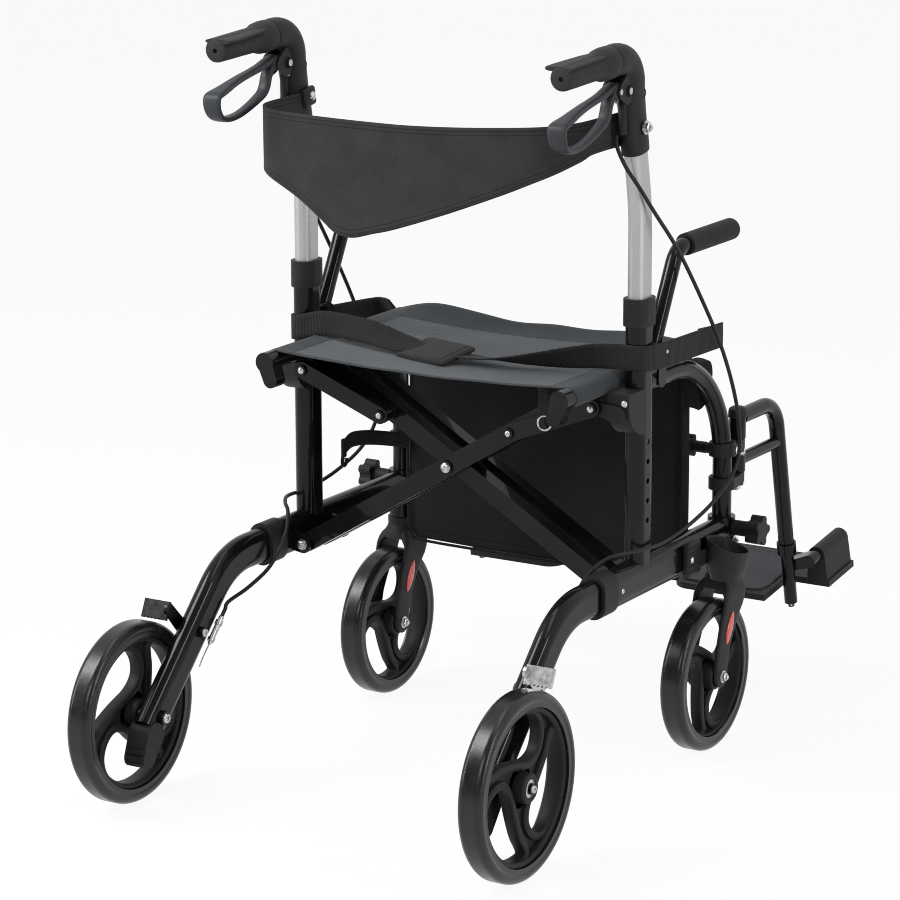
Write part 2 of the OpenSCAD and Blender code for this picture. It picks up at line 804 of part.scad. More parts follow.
// A round tube along a list of points, as one closed mesh
module sweep(path, r, sides) {
    last = len(path) - 1;
    dirs = [for (i = [0 : last]) let (v = path[min(i + 1, last)] - path[max(i - 1, 0)])
        v / norm(v)];
    ring = [for (i = [0 : last]) let (
            u0 = cross(dirs[i], [1, 0, 0]), u = u0 / norm(u0), v = cross(dirs[i], u))
        for (k = [0 : sides - 1]) let (a = 360 * k / sides)
            path[i] + r * (cos(a) * u + sin(a) * v)];
    walls = [for (i = [0 : last - 1], k = [0 : sides - 1]) let (
            a = i * sides + k, b = i * sides + (k + 1) % sides)
        each [[a, b + sides, b], [a, a + sides, b + sides]]];
    caps = [[for (k = [0 : sides - 1]) k],
        [for (k = [0 : sides - 1]) last * sides + sides - 1 - k]];
    polyhedron(points = ring, faces = concat(walls, caps));
}

// The brake cable's sheath and the barrel adjuster on the leg
module brake_cable() {
    color(rubber_black) sweep(smooth(cable_route, 4), cable_d / 2, 8);
    color(zinc) translate(cable_route[len(cable_route) - 1])
        rotate([leg_turn, 0, 0]) translate([0, -fit, 0]) {
            pin_y(-40, 0, cable_d / 2 + 1.4);
            pin_y(-12, -6, cable_d / 2 + 2.4);
            pin_y(-36, -31, cable_d / 2 + 2.4);
        }
}

// The toothed brake plate over the tyre, on its arm
module brake_shoe() {
    arm_x = leg_face + slide;
    end_x = wheel_x + tyre_w / 2;
    plate_r = rear_r + shoe_gap;
    teeth = 7;
    tooth = (end_x - arm_x) / teeth;
    color(zinc) difference() {
        union() {
            along_x(arm_x, arm_x + shoe_t)
                taper([-shoe_y, shoe_z], shoe_pin_r + 5,
                    [-axle_y + (plate_r + shoe_h / 2 + 3) * sin(shoe_angle),
                        rear_r + (plate_r + shoe_h / 2 + 3) * cos(shoe_angle)], 7.5);
            translate([arm_x, -axle_y, rear_r]) rotate([-shoe_angle, 0, 0])
                translate([1, -shoe_t / 2, plate_r]) cube([end_x - arm_x - 1, shoe_t, shoe_h]);
        }
        translate([0, -shoe_y, shoe_z])
            pin_x(arm_x - 1, arm_x + shoe_t + 1, shoe_pin_r + run);
        translate([arm_x, -axle_y, rear_r]) rotate([-shoe_angle, 0, 0])
            for (i = [1 : teeth - 1]) translate([i * tooth, 0, plate_r])
                rotate([0, 45, 0]) cube([tooth / 2, 3 * shoe_t, tooth / 2], center = true);
    }
}

// A wheel's parts, around the X axis
module tyre(r) {
    color(rubber_black) rotate([0, 90, 0]) rotate_extrude() {
        translate([r - tyre_t, -tyre_w / 2 + 1])
            square([tyre_t - tyre_round, tyre_w - 2]);
        translate([r - tyre_round, 0]) for (s = [-1, 1])
            translate([0, s * (tyre_w / 2 - tyre_round)]) circle(tyre_round);
        translate([r - tyre_round, -tyre_w / 2 + tyre_round])
            square([tyre_round, tyre_w - 2 * tyre_round]);
    }
}

// Three swirling spokes, each with a cored gusset at the rim
module rim(r) {
    rim_out = r - tyre_t - fit;
    rim_in = rim_out - rim_t;
    swirl = rim_in * 0.62;
    color(black_plastic) {
        rotate([0, 90, 0]) difference() {
            union() {
                rotate_extrude() translate([rim_in, -rim_w / 2]) square([rim_t, rim_w]);
                cylinder(r = hub_r, h = hub_l, center = true);
                linear_extrude(spoke_t, center = true) intersection() {
                    circle(rim_in + 3);
                    union() for (i = [0 : 2]) rotate(i * 120) {
                        difference() {
                            intersection() {
                                translate([swirl, 0]) difference() {
                                    circle(swirl + spoke_w / 2);
                                    circle(swirl - spoke_w / 2);
                                }
                                translate([-spoke_w, 0]) square([2 * r, 2 * r]);
                            }
                        }
                        difference() {
                            rotate(37) polygon([[rim_in * 0.62, -8], [rim_in + 2, -23],
                                [rim_in + 2, 21], [rim_in * 0.62, 8]]);
                            rotate(37) polygon([[rim_in * 0.74, -4], [rim_in - 5, -10],
                                [rim_in - 5, 9], [rim_in * 0.74, 4]]);
                        }
                    }
                }
            }
            cylinder(r = axle_r + 2, h = 2 * hub_l, center = true);
            for (s = [-1, 1]) translate([0, 0, s * (hub_l - bearing_w) / 2])
                cylinder(r = bearing_r + fit, h = bearing_w + 2 * fit, center = true);
        }
    }
    color(zinc) for (s = [-1, 1]) translate([s * (hub_l - bearing_w) / 2, 0, 0])
        rotate([0, 90, 0]) difference() {
            cylinder(r = bearing_r, h = bearing_w, center = true);
            cylinder(r = axle_r + run, h = 2 * bearing_w, center = true);
        }
}

module rear_tyre() {
    translate([wheel_x, -axle_y, rear_r]) tyre(rear_r);
}

module rear_rim() {
    translate([wheel_x, -axle_y, rear_r]) rim(rear_r);
}

module caster_tyre() {
    translate([frame_x, caster_y, front_r]) tyre(front_r);
}

module caster_rim() {
    translate([frame_x, caster_y, front_r]) rim(front_r);
}

// The moulded caster fork, with its stem and axle bolt
module caster_fork() {
    axle_end = fork_gap + fork_t + 4;
    color(black_plastic) difference() {
        union() {
            translate([frame_x, front_y, crown_top - crown_h]) {
                cylinder(r = crown_r, h = crown_h - 9);
                translate([0, 0, crown_h - 9]) cylinder(r1 = crown_r, r2 = stem_r + 8, h = 9);
            }
            for (x = [frame_x - fork_gap - fork_t, frame_x + fork_gap])
                along_x(x, x + fork_t) {
                    taper([front_y - 2, crown_top - crown_h + 6], 22, [caster_y + 14, front_r + 52], 14);
                    taper([caster_y + 14, front_r + 52], 14, [caster_y, front_r], 13);
                }
        }
        translate([0, caster_y, front_r])
            pin_x(frame_x - axle_end, frame_x + axle_end, axle_r + fit);
        translate([frame_x, caster_y, front_r])
            pin_x(-fork_gap, fork_gap, front_r + 5);
    }
    color(zinc) {
        translate([frame_x, front_y, crown_top - 1]) cylinder(r = stem_r, h = stem_l + slide + 1);
        translate([frame_x, caster_y, front_r]) {
            pin_x(-axle_end, axle_end, axle_r);
            for (x = [-axle_end, fork_gap + fork_t + fit])
                pin_x(x, x + 4 - fit, axle_r + 2.5);
        }
    }
}

module armrest_path(d) {
    length = (arm_top - arm_z) / cos(arm_lean) - arm_tangent;
    translate([frame_x, arm_y, arm_z]) rotate([-arm_lean, 0, 0]) cylinder(d = d, h = length);
    translate([frame_x, arm_bend_y, arm_top - arm_r]) bend(arm_r, 90, 180 - arm_lean)
        circle(d = d);
    translate([frame_x, 0, arm_top]) along_y(arm_bend_y, arm_bend_y + foam_l - 8)
        circle(d = d);
}

module armrest_tube() {
    color(black_paint) difference() {
        union() {
            armrest_path(arm_d);
            translate([0, arm_y, arm_z])
                pin_x(frame_x - arm_lug + slide, frame_x + arm_lug - slide, arm_d / 2 + 0.5);
        }
        translate([0, arm_y, arm_z]) pin_x(frame_x - arm_d, frame_x + arm_d, screw_r + run);
    }
}

module armrest_foam() {
    start = arm_bend_y + 2;
    color(rubber_black) translate([frame_x, 0, arm_top]) difference() {
        union() {
            pin_y(start, start + foam_l - 4, foam_r);
            pin_y(start, start + foam_l, foam_r - 4);
            translate([0, start + foam_l - 4, 0]) rotate([-90, 0, 0])
                rotate_extrude() translate([foam_r - 4, 0]) circle(4);
        }
        pin_y(start - 1, arm_bend_y + foam_l - 8 + fit, arm_d / 2 + fit);
    }
}

// The bore and outside of the hanger's long tube, along its own axis
module hanger_long(d, from, to) {
    translate([frame_x, hanger_end_y, hanger_end_z]) rotate([hanger_lean, 0, 0])
        translate([0, 0, -to]) cylinder(d = d, h = to - from);
}

// The swing-away hanger: two sleeves on the hinge pins, a bent tube and a strut
module footrest_hanger() {
    sleeve_r = hinge_r + 5;
    strut_end = hanger_y + (hanger_z - strut_z) * tan(hanger_lean);
    color(black_paint) {
        difference() {
            union() {
                translate([frame_x, hinge_y, clamp_high + clamp_h + slide]) cylinder(
                    r = sleeve_r, h = hanger_z + hanger_d / 2 + 1 - clamp_high - clamp_h - slide);
                translate([frame_x, 0, hanger_z]) along_y(hinge_y + hinge_r + 2, hanger_bend_y)
                    circle(d = hanger_d);
                translate([frame_x, hanger_bend_y, hanger_z - hanger_r])
                    bend(hanger_r, hanger_lean, 90) circle(d = hanger_d + fit);
                hanger_long(hanger_d, 0, hanger_run);
                hanger_long(hanger_d + 5, hanger_run - 16, hanger_run);
            }
            translate([frame_x, hinge_y, clamp_high]) cylinder(r = hinge_r + run, h = hanger_z);
            hanger_long(slider_d + 2 * slide, hanger_run - slider_in - 60, hanger_run + 1);
        }
        difference() {
            union() {
                translate([frame_x, hinge_y, clamp_low + clamp_h + slide]) cylinder(
                    r = sleeve_r, h = strut_z + hanger_d / 2 - 1 - clamp_low - clamp_h - slide);
                translate([frame_x, 0, strut_z]) along_y(hinge_y + hinge_r + 2, strut_end)
                    circle(d = hanger_d - 5);
            }
            translate([frame_x, hinge_y, clamp_low]) cylinder(r = hinge_r + run, h = hanger_z);
            hanger_long(hanger_d + 2 * fit, 0, hanger_run);
        }
    }
}

module on_plate() {
    translate([0, plate_y, plate_z]) rotate([plate_tilt, 0, 0]) children();
}

// The sliding tube, with the lug and rod that the footplate turns on
module footrest_tube() {
    lug_y = flange_y - 24;
    mid_z = (slider_bottom + hanger_bottom) / 2;
    color(black_paint) {
        hanger_long(slider_d, hanger_run - slider_in, slider_run);
        on_plate() {
            along_y(lug_y, lug_y + 22)
                taper([frame_x + slider_d / 4, rod_z - 9], 7, [rod_x, rod_z], rod_r + 3);
            translate([rod_x, 0, rod_z]) pin_y(lug_y, plate_l - 3, rod_r);
        }
    }
    color(zinc) hanger_long(9, slider_run, slider_run + 6);
}

// The footplate: a tread with a drawn-in outer corner for the tube, and the
// hinge housing along its outer edge
module footplate() {
    tube_side = frame_x - slider_d / 2 - 5;
    out = rod_x + 17;
    color(black_plastic) on_plate() difference() {
        union() {
            linear_extrude(plate_t) {
                translate([plate_in + plate_round, 0])
                    square([tube_side - plate_in - plate_round, plate_l]);
                translate([plate_in, plate_round])
                    square([plate_round, plate_l - 2 * plate_round]);
                for (y = [plate_round, plate_l - plate_round])
                    translate([plate_in + plate_round, y]) circle(plate_round);
                translate([tube_side - 1, flange_y]) square([out - tube_side + 1, flange_l]);
            }
            along_y(flange_y, plate_l - 4) {
                taper([rod_x, rod_z], rod_r + 6, [rod_x, 10], 15);
            }
        }
        translate([rod_x, 0, rod_z]) pin_y(0, plate_l + 1, rod_r + run);
        translate([0, 0, -20]) linear_extrude(20) square([2 * rod_x, plate_l]);
    }
}

// The fold link from the saddle to the brace; the left one is deeper, because
// the bar that it meets lies one bar further forward
module fold_link(deep) {
    front = -link_face + (deep ? bar_pitch : 0);
    rear = front - link_t - (deep ? bar_pitch : 0);
    arm_front = -link_face + 8.5;
    color(black_paint) difference() {
        union() {
            along_y(rear, rear + link_t) taper(link_out, link_h / 2, link_in, link_h / 2);
            translate([link_x, 0, link_z]) pin_y(rear - 3, deep ? front : arm_front, screw_r);
            translate([link_x, 0, link_z]) pin_y(rear - 3, rear + 1, screw_r + 3);
            translate([link_in[0], 0, link_in[1]]) pin_y(rear - 3, rear + 1, screw_r + 3);
            if (deep) {
                along_y(front - link_t, front)
                    taper(link_out, link_h / 2, link_in, link_h / 2);
                along_y(rear + 1, front - 1)
                    taper(link_out + 0.3 * (link_in - link_out), link_h / 2 - 2,
                        link_in, link_h / 2 - 2);
            }
        }
    }
}

// A seat tube, with its end plugs and the hook that rests on the fold link
module seat_tube() {
    hook = [seat_x - 8, seat_z - 22];
    color(black_paint) difference() {
        translate([seat_x, 0, seat_z]) pin_y(-seat_rear, seat_front, seat_d / 2);
        translate([seat_x, 0, seat_z]) pin_y(-seat_rear - 1, seat_front + 1, seat_d / 2 - wall);
    }
    color(black_plastic) {
        difference() {
            union() {
                translate([seat_x, 0, seat_z]) pin_y(-seat_rear - 4, -seat_rear + 16, seat_d / 2 + 2);
                along_y(-seat_rear - 4, -seat_rear + 16)
                    taper([seat_x, seat_z], seat_d / 2, hook, 10);
            }
            translate([seat_x, 0, seat_z]) pin_y(-seat_rear - fit, seat_front, seat_d / 2 + fit);
        }
        translate([seat_x, 0, seat_z]) pin_y(seat_front + fit, seat_front + 4, seat_d / 2);
    }
}

// One pair of crossed bars, from its lower pivot up to its seat tube
module brace(rear, with_pin) {
    reach = high_a - low_a;
    top = high_a - (seat_d / 2 - 3) * reach / norm(reach);
    color(black_paint) difference() {
        union() {
            for (y = [rear, rear + 2 * bar_pitch]) along_y(y, y + bar_d)
                taper(low_a, bar_h / 2, top, bar_h / 2);
            translate([low_a[0], 0, low_a[1]])
                pin_y(rear, rear + 2 * bar_pitch, bar_h / 2 - 2);
            if (with_pin) translate([0, 0, cross_z]) {
                pin_y(-bar_rear, lug_front - 1, centre_r);
                pin_y(-bar_rear - 3, -bar_rear, centre_r + 3);
                pin_y(lug_front - 1 + slide, lug_front + 3, centre_r + 3);
                pin_y(lug_front - 2, lug_front + 1, centre_r);
            }
        }
        translate([low_a[0], 0, low_a[1]])
            pin_y(rear - 1, rear + 2 * bar_pitch + bar_d + 1, pin_r + run);
        translate([seat_x, 0, seat_z]) pin_y(-seat_rear, seat_front, seat_d / 2 + fit);
        if (!with_pin) translate([0, 0, cross_z])
            pin_y(-bar_rear - 1, lug_front + 1, centre_r + run);
        for (y = [rear, rear + 2 * bar_pitch], part = [[0.05, 0.46], [0.54, 0.94]])
            along_y(y + wall, y + bar_d - wall)
                taper(low_a + part[0] * reach, bar_h / 2 - wall,
                    low_a + part[1] * reach, bar_h / 2 - wall);
    }
}

module brace_a() {
    brace(-bar_rear, true);
}

module brace_b() {
    mirror([1, 0, 0]) brace(-bar_rear + bar_pitch, false);
}

// The sling seat: cloth over the outer sides of both tubes, sagging between them
module seat() {
    loop_in = seat_d / 2 + slide;
    crown = seat_z + loop_in + cloth_t / 2;
    sag_r = (seat_x * seat_x + seat_sag * seat_sag) / (2 * seat_sag);
    color(cloth_black) along_y(-seat_rear + 18, seat_front - 2) {
        intersection() {
            translate([0, crown - seat_sag + sag_r]) difference() {
                circle(sag_r + cloth_t / 2, $fn = 400);
                circle(sag_r - cloth_t / 2, $fn = 400);
            }
            translate([-seat_x, crown - 2 * seat_sag]) square([2 * seat_x, 3 * seat_sag]);
        }
        for (s = [-1, 1]) scale([s, 1]) translate([seat_x, seat_z]) intersection() {
            difference() {
                circle(loop_in + cloth_t);
                circle(loop_in);
            }
            rotate(brace_angle) translate([0, -2 * seat_d]) square([2 * seat_d, 4 * seat_d]);
        }
    }
}

// The backrest strap: a deep U behind the handles, lowest on the left
module backrest() {
    end_x = frame_x - handle_w / 2 - housing_t - slide - (cloth_t + 1) / 2;
    end_y = -24;
    back_y = end_y - back_depth;
    half = [[end_x, end_y], [end_x, end_y - 50], [end_x - 4, end_y - 94],
        [end_x - 22, back_y + 14], [end_x - 52, back_y], [end_x - 120, back_y - 8],
        [0, back_y - 12]];
    low_mid = back_top - back_mid_h;
    near = back_mid_h - back_near_h;
    far = back_mid_h - back_end_h;
    low_edge = [[frame_x, low_mid + near], [end_x - 4, low_mid + 0.97 * near],
        [end_x - 22, low_mid + 0.84 * near], [140, low_mid + 0.63 * near],
        [70, low_mid + 0.38 * near], [0, low_mid + 0.15 * near], [-back_low_x, low_mid],
        [-back_low_x - 26, low_mid + 0.06 * far], [-150, low_mid + 0.63 * far],
        [22 - end_x, low_mid + 0.93 * far], [-frame_x, low_mid + far]];
    color(cloth_black) intersection() {
        translate([0, 0, low_mid - 5]) linear_extrude(back_mid_h + 5)
            strip(smooth(mirrored(half), 3), cloth_t + 1);
        along_y(-frame_x, 0) polygon(concat(smooth(low_edge, 3),
            [[-frame_x, back_top], [frame_x, back_top]]));
    }
}

// The flat bag that hangs under the seat, with a gusset up to each arch
module bag() {
    rear = seat_front + 6;
    corner = 14;
    gusset_x = frame_x - front_d / 2 - slide;
    color(cloth_black) {
        along_y(rear, rear + bag_t) {
            translate([-bag_x, bag_bottom + corner])
                square([2 * bag_x, bag_top - bag_bottom - corner]);
            translate([-bag_x + corner, bag_bottom])
                square([2 * (bag_x - corner), corner]);
            for (s = [-1, 1]) translate([s * (bag_x - corner), bag_bottom + corner])
                circle(corner);
        }
        for (x = [-gusset_x, bag_x - 1]) along_x(x, x + gusset_x - bag_x + 1)
            polygon([[rear, bag_top - 70], [rear + 34, bag_top - 58],
                [rear + 40, bag_top - 30], [rear + 20, bag_top], [rear, bag_top]]);
    }
}

// The belt: from the seat's front corners, round behind the posts, to a pad
module belt() {
    out = frame_x + post_w / 2 + 5;
    behind = -post_d / 2 - slide - belt_t / 2;
    half = [[seat_x + 14, seat_front + 6], [out, seat_front + 8], [out, 0],
        [out - 6, behind], [frame_x - 20, behind], [140, -34], [44, -52], [0, -54]];
    color(cloth_black) translate([0, 0, belt_z]) {
        linear_extrude(belt_w) strip(mirrored(half), belt_t);
        translate([0, -54, -2]) linear_extrude(belt_w + 4) oval(96, 8);
    }
}

// The cane holder: a scooped cup on a bracket and block, on the right rail
module cane_holder() {
    rail_side = frame_x + rail_w / 2;
    cup_x = rail_side + 1.5 + cup_w / 2;
    block_y = cup_y - cup_l / 2 - 46;
    color(black_plastic) {
        difference() {
            union() {
                translate([cup_x, cup_y, cup_z]) linear_extrude(cup_h) oval(cup_w, cup_l);
                translate([rail_side + fit, block_y, rail_z - 22]) cube([10, 34, 44]);
                translate([rail_side + 4, block_y + 33, cup_z + 22]) cube([4, cup_l, 20]);
            }
            translate([cup_x, cup_y, cup_z + cup_t]) linear_extrude(cup_h)
                oval(cup_w - 2 * cup_t, cup_l - 2 * cup_t);
            translate([cup_x - cup_w, cup_y - cup_l / 2 + 8, cup_z + cup_h])
                rotate([-28, 0, 0]) cube([2 * cup_w, 2 * cup_l, cup_h]);
        }
    }
}

// Puts a piece in the chair's own frame, on the right side or mirrored
module place() {
    translate([0, -y_mid, 0]) children();
}

module right() {
    place() children();
}

module left() {
    place() mirror([1, 0, 0]) children();
}

left() rear_post();  // rear_post_left
right() rear_post();  // rear_post_right
left() lower_rail();  // lower_rail_left
right() lower_rail();  // lower_rail_right
left() front_arch();  // front_arch_left
right() front_arch();  // front_arch_right
left() rear_leg();  // rear_leg_left
right() rear_leg();  // rear_leg_right
left() frame_mouldings();  // frame_mouldings_left
right() frame_mouldings();  // frame_mouldings_right
left() footrest_clamps();  // footrest_clamps_left
right() footrest_clamps();  // footrest_clamps_right
left() rail_knob();  // rail_knob_left
right() rail_knob();  // rail_knob_right
left() clamp_knob();  // clamp_knob_left
right() clamp_knob();  // clamp_knob_right
left() handle_tube();  // handle_tube_left
right() handle_tube();  // handle_tube_right
left() handle_housing();  // handle_housing_left
right() handle_housing();  // handle_housing_right
left() grip();  // grip_left
right() grip();  // grip_right
left() brake_lever();  // brake_lever_left
right() brake_lever();  // brake_lever_right
left() brake_cable();  // brake_cable_left
right() brake_cable();  // brake_cable_right
left() brake_shoe();  // brake_shoe_left
right() brake_shoe();  // brake_shoe_right
left() rear_tyre();  // rear_tyre_left
right() rear_tyre();  // rear_tyre_right
left() rear_rim();  // rear_rim_left
right() rear_rim();  // rear_rim_right
left() caster_fork();  // caster_fork_left
right() caster_fork();  // caster_fork_right
left() caster_tyre();  // caster_tyre_left
right() caster_tyre();  // caster_tyre_right
left() caster_rim();  // caster_rim_left
right() caster_rim();  // caster_rim_right
left() armrest_tube();  // armrest_tube_left
right() armrest_tube();  // armrest_tube_right
left() armrest_foam();  // armrest_foam_left
right() armrest_foam();  // armrest_foam_right
left() footrest_hanger();  // footrest_hanger_left
right() footrest_hanger();  // footrest_hanger_right
left() footrest_tube();  // footrest_tube_left
right() footrest_tube();  // footrest_tube_right
left() footplate();  // footplate_left
right() footplate();  // footplate_right
left() fold_link(true);  // fold_link_left
right() fold_link(false);  // fold_link_right
left() seat_tube();  // seat_tube_left
right() seat_tube();  // seat_tube_right
place() brace_a();
place() brace_b();
place() seat();
place() backrest();
place() bag();
place() belt();
place() cane_holder();
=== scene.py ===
import bisect
import json
import math

import bmesh
import bpy
from mathutils import Matrix, Vector, noise


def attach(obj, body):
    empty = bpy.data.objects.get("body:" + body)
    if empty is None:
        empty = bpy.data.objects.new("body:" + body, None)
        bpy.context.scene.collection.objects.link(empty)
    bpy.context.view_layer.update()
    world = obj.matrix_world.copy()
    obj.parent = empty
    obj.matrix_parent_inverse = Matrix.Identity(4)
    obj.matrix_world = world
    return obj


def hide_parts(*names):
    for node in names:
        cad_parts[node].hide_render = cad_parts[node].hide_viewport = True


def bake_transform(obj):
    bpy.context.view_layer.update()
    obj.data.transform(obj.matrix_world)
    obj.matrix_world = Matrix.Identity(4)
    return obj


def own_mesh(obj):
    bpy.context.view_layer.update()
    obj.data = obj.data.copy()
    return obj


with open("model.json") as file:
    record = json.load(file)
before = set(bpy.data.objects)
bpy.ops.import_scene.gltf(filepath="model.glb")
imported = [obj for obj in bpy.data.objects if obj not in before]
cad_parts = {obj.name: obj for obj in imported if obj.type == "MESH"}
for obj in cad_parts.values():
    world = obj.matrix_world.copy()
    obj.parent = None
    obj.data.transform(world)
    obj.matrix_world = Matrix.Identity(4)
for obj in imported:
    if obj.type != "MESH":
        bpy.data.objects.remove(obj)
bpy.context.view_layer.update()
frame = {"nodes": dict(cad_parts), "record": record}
nodes = frame["nodes"]
print("frame loaded with", len(nodes), "nodes")

# places are given in millimetres, with y counted from the axis of the rear posts
postY = 0.0334786
sides = (("left", -1), ("right", 1))
frameX = 243
stemY = 230
rearWheel = {"x": 278.4, "y": -356.563, "radius": 115}
casterWheel = {"x": frameX, "y": 190, "radius": 100}


def mm(x, y, z):
    return Vector((x / 1000, y / 1000 - postY, z / 1000))


def shift(x, y, z):
    return Matrix.Translation(mm(x, y, z))


# points given for the right side, put on either side
def sided(s, points):
    return [Vector((s * x, y, z)) for x, y, z in points]


# radians in a metre of waves that are one millimetre long
waveTurns = 6283


# a maths node, as a method of a value
def mathsNode(operation):
    return lambda self, *others: self.owner.maths(operation, self, *others)


# a socket in a node tree, which takes Python's own operators
class Value:
    __add__ = __radd__ = mathsNode("ADD")
    __sub__ = mathsNode("SUBTRACT")
    __mul__ = __rmul__ = mathsNode("MULTIPLY")
    __truediv__ = mathsNode("DIVIDE")
    __abs__ = mathsNode("ABSOLUTE")
    above = mathsNode("GREATER_THAN")
    below = mathsNode("LESS_THAN")
    most = mathsNode("MAXIMUM")
    sine = mathsNode("SINE")

    def __init__(self, owner, socket):
        self.owner = owner
        self.socket = socket

    def __rsub__(self, other):
        return self.owner.maths("SUBTRACT", other, self)

    # waves along a measure in metres, each as long as this in millimetres
    def waves(self, length):
        return (self * waveTurns / length).sine()


class Tree:
    def __init__(self, tree):
        self.tree = tree
        self.tree.nodes.clear()

    # any shader node: its settings are set first, then its sockets
    def add(self, kind, sockets=None, settings=None):
        node = self.tree.nodes.new("ShaderNode" + kind)
        for key, setting in (settings or {}).items():
            if key == "stops":
                self.setStops(node.color_ramp, setting)
            else:
                setattr(node, key, setting)
        for key, value in (sockets or {}).items():
            self.put(node.inputs[key], value)
        return node

    def setStops(self, ramp, stops):
        while len(ramp.elements) < len(stops):
            ramp.elements.new(0.5)
        for element, (at, shade) in zip(ramp.elements, stops):
            element.position = at
            element.color = (shade, shade, shade, 1)

    def put(self, socket, value):
        if isinstance(value, Value):
            value = value.socket
        if isinstance(value, bpy.types.NodeSocket):
            self.tree.links.new(value, socket)
        else:
            socket.default_value = value

    def value(self, kind, output, sockets=None, settings=None):
        return Value(self, self.add(kind, sockets, settings).outputs[output])

    def maths(self, operation, *terms):
        return self.value("Math", 0, dict(enumerate(terms)), {"operation": operation})


class Shade(Tree):
    def __init__(self, name):
        self.material = bpy.data.materials.new(name)
        self.material.use_nodes = True
        super().__init__(self.material.node_tree)
        self.surface = self.add("BsdfPrincipled")
        self.output = self.add("OutputMaterial", {"Surface": self.surface.outputs[0]})
        self.place = self.value("TexCoord", "Object")

    def noise(self, scale, detail=2.0, rough=0.5, at=None):
        return self.value("TexNoise", 0, {"Vector": at or self.place, "Scale": scale, "Detail": detail,
                                          "Roughness": rough})

    def ramp(self, value, *stops):
        return self.value("ValToRGB", 0, {"Fac": value}, {"stops": stops})

    def stretched(self, x, y, z):
        return self.value("Mapping", 0, {"Vector": self.place, "Scale": (x, y, z)})

    def axes(self, at=None):
        node = self.add("SeparateXYZ", {0: at or self.place})
        return [Value(self, out) for out in node.outputs]

    def uv(self):
        return self.axes(self.value("UVMap", 0))[:2]

    def colour(self, factor, low, high):
        return self.value("Mix", 2, {0: factor, 6: (*low, 1), 7: (*high, 1)}, {"data_type": "RGBA"})

    def bump(self, height, strength, distance):
        return self.value("Bump", 0, {"Height": height, "Strength": strength, "Distance": distance})

    def finish(self, **sockets):
        for key, value in sockets.items():
            self.put(self.surface.inputs[key.replace("_", " ")], value)
        return self.material


gloss = {"base": (0.003, 0.003, 0.0032), "dust": (0.008, 0.008, 0.0085), "rough": 0.24}


def makeGlossPaint():
    s = Shade("glossPaint")
    cloud = s.noise(18, 4)
    speck = s.noise(900, 2)
    dust = s.ramp(cloud, (0.45, 0), (0.8, 1))
    return s.finish(
        Base_Color=s.colour(dust, gloss["base"], gloss["dust"]), Roughness=gloss["rough"] + 0.1 * cloud,
        Specular_IOR_Level=0.08, Coat_Weight=0.3, Coat_Roughness=0.035,
        Normal=s.bump(s.noise(260, 1) + 0.3 * speck, 0.02, 0.0004))


silver = {"low": (0.36, 0.36, 0.355), "high": (0.5, 0.5, 0.49), "rough": 0.34}


def makeSatinSilver():
    s = Shade("satinSilver")
    brushed = s.noise(60, 3, at=s.stretched(30, 30, 0.6))
    cloud = s.noise(9, 3)
    return s.finish(
        Base_Color=s.colour(0.6 * brushed + 0.4 * cloud, silver["low"], silver["high"]), Metallic=0.75,
        Roughness=silver["rough"] + 0.12 * brushed, Normal=s.bump(brushed, 0.06, 0.0003))


# moulded plastics and rubbers differ in tone, roughness, grain and the depth of the grain
plastics = {
    "mouldedPlastic": ((0.007, 0.007, 0.0073), (0.019, 0.019, 0.0195), 0.46, 2200, 0.16),
    "gripRubber": ((0.013, 0.013, 0.014), (0.03, 0.03, 0.031), 0.56, 3200, 0.3),
    "leverSatin": ((0.016, 0.018, 0.021), (0.04, 0.044, 0.05), 0.36, 1800, 0.08),
    "foamSkin": ((0.009, 0.009, 0.0095), (0.022, 0.022, 0.023), 0.62, 4200, 0.4),
    "sheathBlack": ((0.008, 0.008, 0.0085), (0.02, 0.02, 0.021), 0.38, 1500, 0.06),
    "rimPlastic": ((0.0065, 0.0062, 0.006), (0.016, 0.0155, 0.015), 0.46, 1600, 0.14)}


def makePlastic(name):
    low, high, rough, grain, depth = plastics[name]
    s = Shade(name)
    cloud = s.noise(14, 4)
    pits = s.noise(grain, 2)
    scuff = s.ramp(s.noise(55, 6, 0.7), (0.58, 0), (0.75, 1))
    return s.finish(
        Base_Color=s.colour(0.55 * cloud + 0.35 * pits + 0.25 * scuff, low, high),
        Roughness=rough + 0.16 * pits - 0.1 * scuff, Specular_IOR_Level=0.2,
        Normal=s.bump(pits, depth, 0.0004))


def makeZinc(name, low, high):
    s = Shade(name)
    cloud = s.noise(140, 4)
    return s.finish(
        Base_Color=s.colour(cloud, low, high), Metallic=1.0, Roughness=0.22 + 0.22 * cloud,
        Normal=s.bump(s.noise(1200, 2), 0.08, 0.0002))


def makeTyre():
    s = Shade("tyreRubber")
    cloud = s.noise(20, 4)
    dust = s.ramp(s.noise(90, 5), (0.5, 0), (0.8, 1))
    return s.finish(
        Base_Color=s.colour(0.5 * cloud + 0.4 * dust, (0.005, 0.005, 0.0052), (0.015, 0.015, 0.0155)),
        Roughness=0.2 + 0.14 * cloud + 0.08 * dust, Specular_IOR_Level=0.4,
        Normal=s.bump(s.noise(1500, 2), 0.05, 0.0003))


